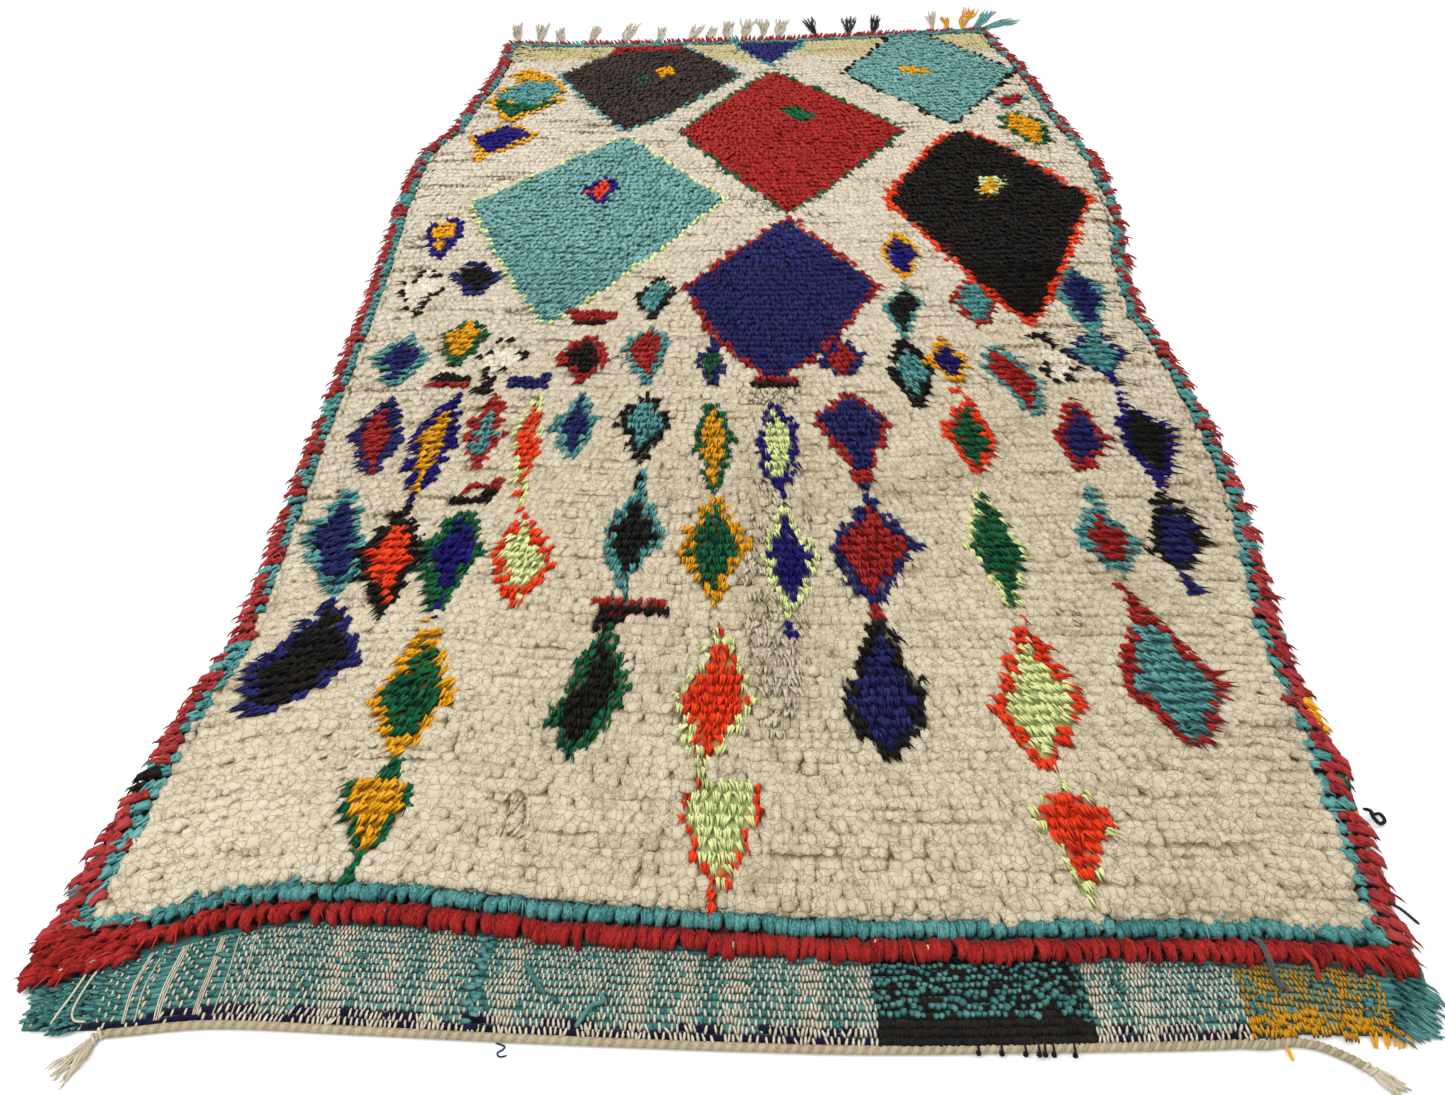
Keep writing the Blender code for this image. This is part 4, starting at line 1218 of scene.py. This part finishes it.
def make_ground():
    """The woven ground that everything is knotted into: one slab, cut to the rug's outline."""
    made, tree = new_material("woven_wool_ground")
    place = add_node(tree, "ShaderNodeTexCoord", {}, {}).outputs["Object"]
    # The dye attribute holds each place's wool colour together with its painted shade
    dye = add_node(tree, "ShaderNodeAttribute", {"attribute_name": "dye"}, {}).outputs["Color"]
    # Weft ribs 16 mm apart, with warps 6 mm apart that show as beads on them, on the underside only
    ribs = add_node(tree, "ShaderNodeTexWave", {"bands_direction": "Y", "Scale": WAVE / 0.016,
                    "Distortion": 1.5, "Detail": 2.0}, {"Vector": place}).outputs["Fac"]
    beads = add_node(tree, "ShaderNodeTexWave", {"bands_direction": "X", "Scale": WAVE / 0.006,
                     "Distortion": 1.0}, {"Vector": place}).outputs["Fac"]
    raised = add_node(tree, "ShaderNodeMath", {"operation": "MULTIPLY"}, {0: ribs, 1: beads}).outputs[0]
    lift = add_node(tree, "ShaderNodeSeparateXYZ", {}, {"Vector": place}).outputs["Z"]
    top = add_node(tree, "ShaderNodeMapRange", {"From Min": 0.0015, "From Max": 0.0030}, {"Value": lift})
    height = add_node(tree, "ShaderNodeMath", {"operation": "MAXIMUM"},
                      {0: raised, 1: top.outputs["Result"]}).outputs[0]
    # Painted shade: the colour darkens in the hollows between ribs and beads
    light = add_node(tree, "ShaderNodeMapRange", {"To Min": 0.45, "To Max": 1.0}, {"Value": height})
    colour = add_node(tree, "ShaderNodeVectorMath", {"operation": "SCALE"},
                      {0: dye, "Scale": light.outputs["Result"]}).outputs["Vector"]
    finish_wool(tree, colour, height, 0.8, 0.001, {"Roughness": 0.95, "Specular IOR Level": 0.12})

    bpy.ops.object.select_all(action="DESELECT")
    bpy.ops.mesh.primitive_grid_add(x_subdivisions=52, y_subdivisions=104, size=2.0)
    sheet = bpy.context.object
    sheet.name = "woven_ground"
    bpy.ops.object.mode_set(mode="EDIT")
    bpy.ops.mesh.extrude_region_move(TRANSFORM_OT_translate={"value": (0.0, 0.0, 0.5)})
    bpy.ops.mesh.select_all(action="SELECT")
    bpy.ops.mesh.normals_make_consistent(inside=False)
    bpy.ops.object.mode_set(mode="OBJECT")
    given = np.array([corner.co for corner in sheet.data.vertices])
    across, along = (given[:, 0] + 1) / 2, ((given[:, 1] + 1) / 2) ** 1.35
    x = -0.68 + across * 1.36
    for _ in range(8):
        y = line("near", x) + along * (line("far", x) - line("near", x))
        left, right = line("left", y), line("right", y)
        x = left + across * (right - left)
    edges = np.stack([x, y, y - line("near", x), y - line("front", x), line("far", x) - y,
                      np.minimum(x - left, right - x)], axis=1)
    dyes_with_shade = []
    for corner, spot in zip(sheet.data.vertices, edges.tolist()):
        height, wool = bed_look(*spot)
        dyes_with_shade.append(wool)
        corner.co = (spot[0], spot[1] - MIDDLE, height if corner.co.z > 0.1 else 0.0004)
    sheet.data.attributes.new("dye", "FLOAT_COLOR", "POINT").data.foreach_set("color", np.ravel(dyes_with_shade))
    bpy.ops.object.shade_smooth_by_angle(angle=math.radians(60))
    sheet.data.materials.append(made)
    return sheet


def run_lengths(points):
    """How far along a line each of its points is."""
    return np.r_[0, np.cumsum(np.linalg.norm(np.diff(points, axis=0), axis=1))]


def directions(points):
    """Which way a line runs at each of its points, and the level way across it."""
    runs = np.gradient(points, axis=0)
    runs /= np.linalg.norm(runs, axis=1)[:, None]
    return runs, np.cross(runs, (0.0, 0.0, 1.0))


def smooth_path(points, step):
    """Points at even steps along a smooth curve through the given ones."""
    given = np.array(points, float)
    before = np.vstack([2 * given[0] - given[1], given[:-1]])
    after = np.vstack([given[1:], 2 * given[-1] - given[-2]])
    slopes = (after - before) / 2
    fine = []
    for i in range(len(given) - 1):
        t = np.linspace(0, 1, 12, endpoint=False)[:, None]
        jump = given[i + 1] - given[i]
        bend = 3 * jump - 2 * slopes[i] - slopes[i + 1]
        twist = slopes[i] + slopes[i + 1] - 2 * jump
        fine.append(given[i] + slopes[i] * t + bend * t ** 2 + twist * t ** 3)
    fine = np.vstack(fine + [given[-1:]])
    runs = run_lengths(fine)
    marks = np.linspace(0, runs[-1], max(3, int(round(runs[-1] / step)) + 1))
    return np.stack([np.interp(marks, runs, fine[:, k]) for k in range(3)], axis=1)


def yarns_piece(name, yarns, material, sides=5, flat=1.0):
    """Yarns as one joined mesh. A yarn is its points and its radius at each of them; flat is its height as a
    share of its width."""
    corners, faces, fibre, tone, depth = [], [], [], [], []
    count = 0
    chance = random.Random(name)
    for points, radii in yarns:
        runs, side = directions(points)
        side[np.linalg.norm(side, axis=1) < 0.05] = (1.0, 0.0, 0.0)
        side /= np.linalg.norm(side, axis=1)[:, None]
        upward = np.cross(side, runs)
        angles = np.arange(sides) * 2 * math.pi / sides
        lengths = run_lengths(points) * 1000
        own, seed = chance.uniform(0.3, 0.65), chance.uniform(0, 400)
        for i in range(len(points)):
            for a in angles:
                aside = side[i] * math.cos(a) + upward[i] * flat * math.sin(a)
                corners.append(points[i] + radii[i] * aside)
                fibre.append((a * radii[i] * 1000, lengths[i], seed))
                tone.append(own)
                depth.append(0.9)
        for i in range(len(points) - 1):
            for k in range(sides):
                a, b = count + i * sides + k, count + i * sides + (k + 1) % sides
                faces.append((a, b, b + sides))
                faces.append((a, b + sides, a + sides))
        for end, ring in ((0, 0), (len(points) - 1, (len(points) - 1) * sides)):
            corners.append(points[end])
            fibre.append((0.0, lengths[end], seed))
            tone.append(own)
            depth.append(0.9)
            pole = count + len(points) * sides + (0 if end == 0 else 1)
            for k in range(sides):
                a, b = count + ring + k, count + ring + (k + 1) % sides
                faces.append((b, a, pole) if end == 0 else (a, b, pole))
        count += len(points) * sides + 2
    facts = {"fibre": np.array(fibre), "tone": np.array(tone), "depth": np.array(depth)}
    placed = np.array(corners)
    placed[:, 2] = np.maximum(placed[:, 2], FLOOR_CLEAR)
    return mesh_piece(name, placed, np.array(faces), material, facts)


def cord_route():
    """Middle line of the twisted cord along the near edge and past its right end."""
    across = np.linspace(CORD_START, CORD_LEAVES, 60)
    y = line("near", across) - END_CORD_RADIUS - GAP
    points = [(a, b - MIDDLE, END_CORD_RADIUS) for a, b in zip(across, y)]
    points += [(a, up - MIDDLE, END_CORD_RADIUS) for a, up in CORD_FREE]
    fine = smooth_path(points, 0.0014)
    return np.vstack([fine[fine[:, 0] < 0.30][::2], fine[fine[:, 0] >= 0.30]])


def make_end_cord(material):
    """Two plies laid round each other."""
    route = cord_route()
    side = directions(route)[1]
    lengths = run_lengths(route)
    yarns = []
    for ply in (0.0, math.pi):
        turn = (lengths / END_CORD_TURN * 2 * math.pi + ply)[:, None]
        apart = np.interp(route[:, 0], (0.10, 0.46), (0.0003, 0.0022))[:, None]
        points = route + apart * (side * np.cos(turn) + np.array((0.0, 0.0, 1.0)) * np.sin(turn))
        yarns.append((points, 0.0042 - apart[:, 0] * 0.75))
    return yarns_piece("twisted_end_cord", yarns, material, sides=7), route


def brush_yarns(root, out, tip, width, count, radius, chance, knot_share=0.3):
    """Yarn ends that run through one knot and fan out on the floor, with the knot's own turns."""
    way = tip - root
    reach = way.length
    way.normalize()
    side = Vector((way.y, -way.x, 0.0))
    knot = min(TASSEL_KNOT_AT, reach * knot_share)
    tied = root + out * knot * 0.6 + way * knot * 0.4 + Vector((0, 0, 0.0045))
    yarns = []
    for k in range(count):
        share = (k + 0.5) / count - 0.5
        start = root + side * 0.008 * share + Vector((0, 0, chance.uniform(0.002, 0.006)))
        held = tied + side * 0.004 * share + Vector((0, 0, chance.uniform(-0.0015, 0.0015)))
        end = tip + side * width * (share + chance.uniform(-0.12, 0.12))
        end -= way * reach * chance.uniform(0.0, 0.22)
        bow = side * width * chance.uniform(-0.35, 0.35)
        belly = held.lerp(end, 0.45) + bow * 0.5 + Vector((0, 0, chance.uniform(0.0, 0.003)))
        wave = held.lerp(end, 0.78) - bow * 0.25
        wave.z = radius + chance.uniform(0.0, 0.0025)
        end.z = radius + chance.uniform(0.0, 0.0015)
        points = smooth_path([start, held, belly, wave, end], 0.009)
        radii = np.full(len(points), radius)
        radii[-3:] = radius * np.array((0.85, 0.65, 0.35))
        yarns.append((points, radii))
    turns = []
    for k in range(17):
        angle = 2 * math.pi * k / 8
        turned = tied + side * 0.0042 * math.cos(angle) + way * (0.0009 * (k - 8))
        turns.append(turned + Vector((0, 0, 0.0038 * math.sin(angle))))
    loop = np.array([(p.x, p.y, max(p.z, radius * 1.2)) for p in turns])
    yarns.append((loop, np.full(len(loop), radius * 1.15)))
    return yarns


def make_tassels(yarn):
    """The knotted warp ends along the far edge."""
    slots = {"ivory": "ivory_tassel", "black": "black_tassel", "gold": "gold_tassel", "teal": "teal_tassel"}
    pieces = []
    for name, root_across, tip_across, tip_up, width, wool in TASSELS:
        chance = random.Random(name)
        root = Vector((root_across, edge_at("far", root_across) - MIDDLE - 0.004, 0.0))
        tip = Vector((tip_across, tip_up - MIDDLE, 0.0))
        yarns = brush_yarns(root, Vector((0, 1, 0)), tip, width * 1.15, 14, TASSEL_YARN, chance)
        made = yarns_piece(name + "_yarns", yarns, yarn[wool], sides=3)
        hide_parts(name)
        slots[wool]
        pieces.append(made)
    return pieces


def make_cord_tassels(route, yarn):
    """The brushed-out ends of the twisted cord."""
    pieces = []
    for name, start, before, tail, width in (
        ("cord_tassel_left", route[0], route[1], LEFT_TAIL, 0.026),
        ("cord_tassel_right", route[-1], route[-2], RIGHT_TAIL, 0.020),
    ):
        chance = random.Random(name)
        root = Vector((start[0], start[1], 0.0))
        out = Vector((start[0] - before[0], start[1] - before[1], 0.0)).normalized()
        tip = Vector((tail[0], tail[1] - MIDDLE, 0.0))
        yarns = brush_yarns(root, out, tip, width, 18, TASSEL_YARN, chance, knot_share=0.18)
        made = yarns_piece(name + "_yarns", yarns, yarn["ivory"])
        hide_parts(name)
        pieces.append(made)
    return pieces


def make_warp_ends(yarn):
    """Loose gold and teal warp ends at the near right corner, which lie over the edge."""
    pieces = []
    for node, wool, slot, count in (("warp_ends_gold", "gold", "gold_tassel", 12),
                                    ("warp_ends_teal", "teal", "teal_tassel", 16)):
        low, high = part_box(node)
        chance = random.Random(node)
        yarns = []
        for k in range(count):
            share = (k + 0.5) / count
            if wool == "gold":
                start = Vector((low[0] + share * (high[0] - low[0]), high[1] + 0.003, 0.004))
                at = start.x + chance.uniform(-0.003, 0.003)
                end = Vector((at, low[1] + chance.uniform(0.0, 0.004), 0.0012))
            else:
                start = Vector((low[0] - 0.003, low[1] + share * (high[1] - low[1]), 0.004))
                at = high[0] - chance.uniform(0.0, 0.006)
                end = Vector((at, start.y + chance.uniform(-0.004, 0.004), 0.0012))
            belly = start.lerp(end, 0.5) + Vector((0, 0, 0.002))
            points = smooth_path([start, belly, end], 0.003)
            yarns.append((points, np.linspace(0.0013, 0.0009, len(points))))
        made = yarns_piece(node + "_yarns", yarns, yarn[wool])
        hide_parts(node)
        pieces.append(made)
    return pieces


def make_strays():
    """Loose yarn ends on the rug and over its edges."""
    runs = defaultdict(list)
    for wool, radius, points in STRAYS:
        path = smooth_path([(x, y - MIDDLE, z) for x, y, z in points], 0.0025)
        radii = np.full(len(path), radius)
        radii[0], radii[-1] = radius * 0.6, radius * 0.5
        runs[wool].append((path, radii))
    for x in BLACK_KNOTS:
        turns = [(x + 0.0013 * math.cos(a), -0.0074 + 0.0013 * math.sin(a) - MIDDLE, 0.0058 + 0.0002 * a)
                 for a in np.linspace(0, 9, 9)]
        tied = [(x + 0.001, 0.004 - MIDDLE, 0.0072), (x, -0.0035 - MIDDLE, 0.0102)] + turns
        runs["black"].append((np.array(tied), np.linspace(0.0010, 0.0021, len(tied))))
    pieces = []
    for wool, yarns in sorted(runs.items()):
        material = spun_wool("loose_" + wool + "_yarn", wool, hair_mm=0.6)
        pieces.append(yarns_piece("loose_yarn_" + wool, yarns, material, sides=6))
    return pieces


def overcast_wool():
    """Side binding: leftover wools of several colours wound round the outer warps."""
    made, tree = new_material("overcast_mixed_wool")
    tone = add_node(tree, "ShaderNodeAttribute", {"attribute_name": "tone"}, {}).outputs["Fac"]
    fibre = add_node(tree, "ShaderNodeAttribute", {"attribute_name": "fibre"}, {}).outputs["Vector"]
    wools = (
        (0.0, "#B8AA8C"), (0.28, "#2E2626"), (0.45, "#346C69"),
        (0.62, "#C08A30"), (0.74, "#962525"), (0.86, "#A89A7A"),
    )
    colour = add_node(tree, "ShaderNodeValToRGB", {"stops": wools, "steps": "CONSTANT"},
                      {"Fac": tone}).outputs["Color"]
    turns = add_node(tree, "ShaderNodeTexNoise", {"Scale": 0.9, "Detail": 2.0},
                     {"Vector": fibre}).outputs["Fac"]
    finish_wool(tree, colour, turns, 0.6, 0.0006, {"Roughness": 0.9, "Specular IOR Level": 0.2})
    return made


def make_side_cord(which, material):
    """Overcast binding along one side: a cord with a ridge for each turn of wool."""
    outward = -1.0 if which == "left" else 1.0
    up = np.linspace(0.030, edge_at("far", -0.6 if which == "left" else 0.6) - 0.01, 900)
    across = line(which, up) + outward * (SIDE_CORD_RADIUS + GAP)
    middle = np.stack([across, up - MIDDLE, np.full(len(up), SIDE_CORD_RADIUS)], axis=1)
    route = smooth_path(middle[::15], 0.0026)
    ridges = np.where(np.arange(len(route)) % 2 == 0, 0.0040, 0.0034)
    ridges[0] = ridges[-1] = 0.0020
    made = yarns_piece("overcast_cord_" + which, [(route, ridges)], material, sides=6)
    chance = random.Random(which)
    tones, value = [], 0.1
    for i in range(len(route)):
        if chance.random() < 0.25:
            value = chance.random()
        if route[i][1] + MIDDLE < 0.085:
            value = 0.5
        tones += [value] * 6
    tones += [value] * 2
    made.data.attributes["tone"].data.foreach_set("value", np.array(tones, np.float32))
    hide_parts("side_cord_" + which)
    return made


def make_stage():
    """Camera at the photograph's angle, plain pale floor and soft studio light."""
    lens = bpy.data.cameras.new("camera")
    lens.lens = 27.40
    lens.sensor_width = 36.0
    camera = bpy.data.objects.new("camera", lens)
    camera.location = (0.0102, -1.7465, 1.0791)
    camera.rotation_euler = (math.radians(45.791), 0.0, math.radians(1.3295))
    bpy.context.scene.collection.objects.link(camera)
    bpy.context.scene.camera = camera

    bpy.ops.object.select_all(action="DESELECT")
    bpy.ops.mesh.primitive_plane_add(size=14.0, location=(0.0, 0.0, 0.0))
    floor = bpy.context.object
    floor.name = "studio_floor"
    made, tree = new_material("matt_white_paper")
    shader = add_node(tree, "ShaderNodeBsdfPrincipled",
                      {"Base Color": hex_colour("#F4F4F4"), "Roughness": 0.9, "Specular IOR Level": 0.1}, {})
    add_node(tree, "ShaderNodeOutputMaterial", {}, {"Surface": shader.outputs["BSDF"]})
    floor.data.materials.append(made)

    for name, place, size, watts in (
        ("key_softbox", (-1.4, -1.6, 3.4), 2.6, 95.0),
        ("fill_softbox", (1.8, 0.8, 3.6), 3.0, 60.0),
    ):
        lamp = bpy.data.lights.new(name, "AREA")
        lamp.size = size
        lamp.energy = watts
        light = bpy.data.objects.new(name, lamp)
        light.location = place
        light.rotation_euler = (Vector((0, 0, 0)) - Vector(place)).to_track_quat("-Z", "Y").to_euler()
        bpy.context.scene.collection.objects.link(light)

    world = bpy.data.worlds.new("studio")
    world.use_nodes = True
    world.node_tree.nodes["Background"].inputs["Color"].default_value = (1.0, 1.0, 1.0, 1.0)
    world.node_tree.nodes["Background"].inputs["Strength"].default_value = 0.75
    bpy.context.scene.world = world
    bpy.context.scene.view_settings.view_transform = "Standard"


def build():
    """Make every piece, hang each under the root body, and lay the rug on its floor."""
    ground = make_ground()
    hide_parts("rug_body")
    pile = make_pile() + make_wefts() + make_flat_weave() + make_strays()
    yarn = {}
    for wool in ("ivory", "black", "gold", "teal"):
        yarn[wool] = spun_wool("warp_" + wool, wool, hair_mm=0.5)
    end_cord, route = make_end_cord(spun_wool("twisted_grey_ivory_cord", "cord", hair_mm=0.5))
    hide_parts("end_cord")
    binding = overcast_wool()
    cords = [end_cord, make_side_cord("left", binding), make_side_cord("right", binding)]
    tassels = make_tassels(yarn) + make_cord_tassels(route, yarn) + make_warp_ends(yarn)
    for piece in [ground] + pile + cords + tassels:
        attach(piece, "root")
    make_stage()


build()
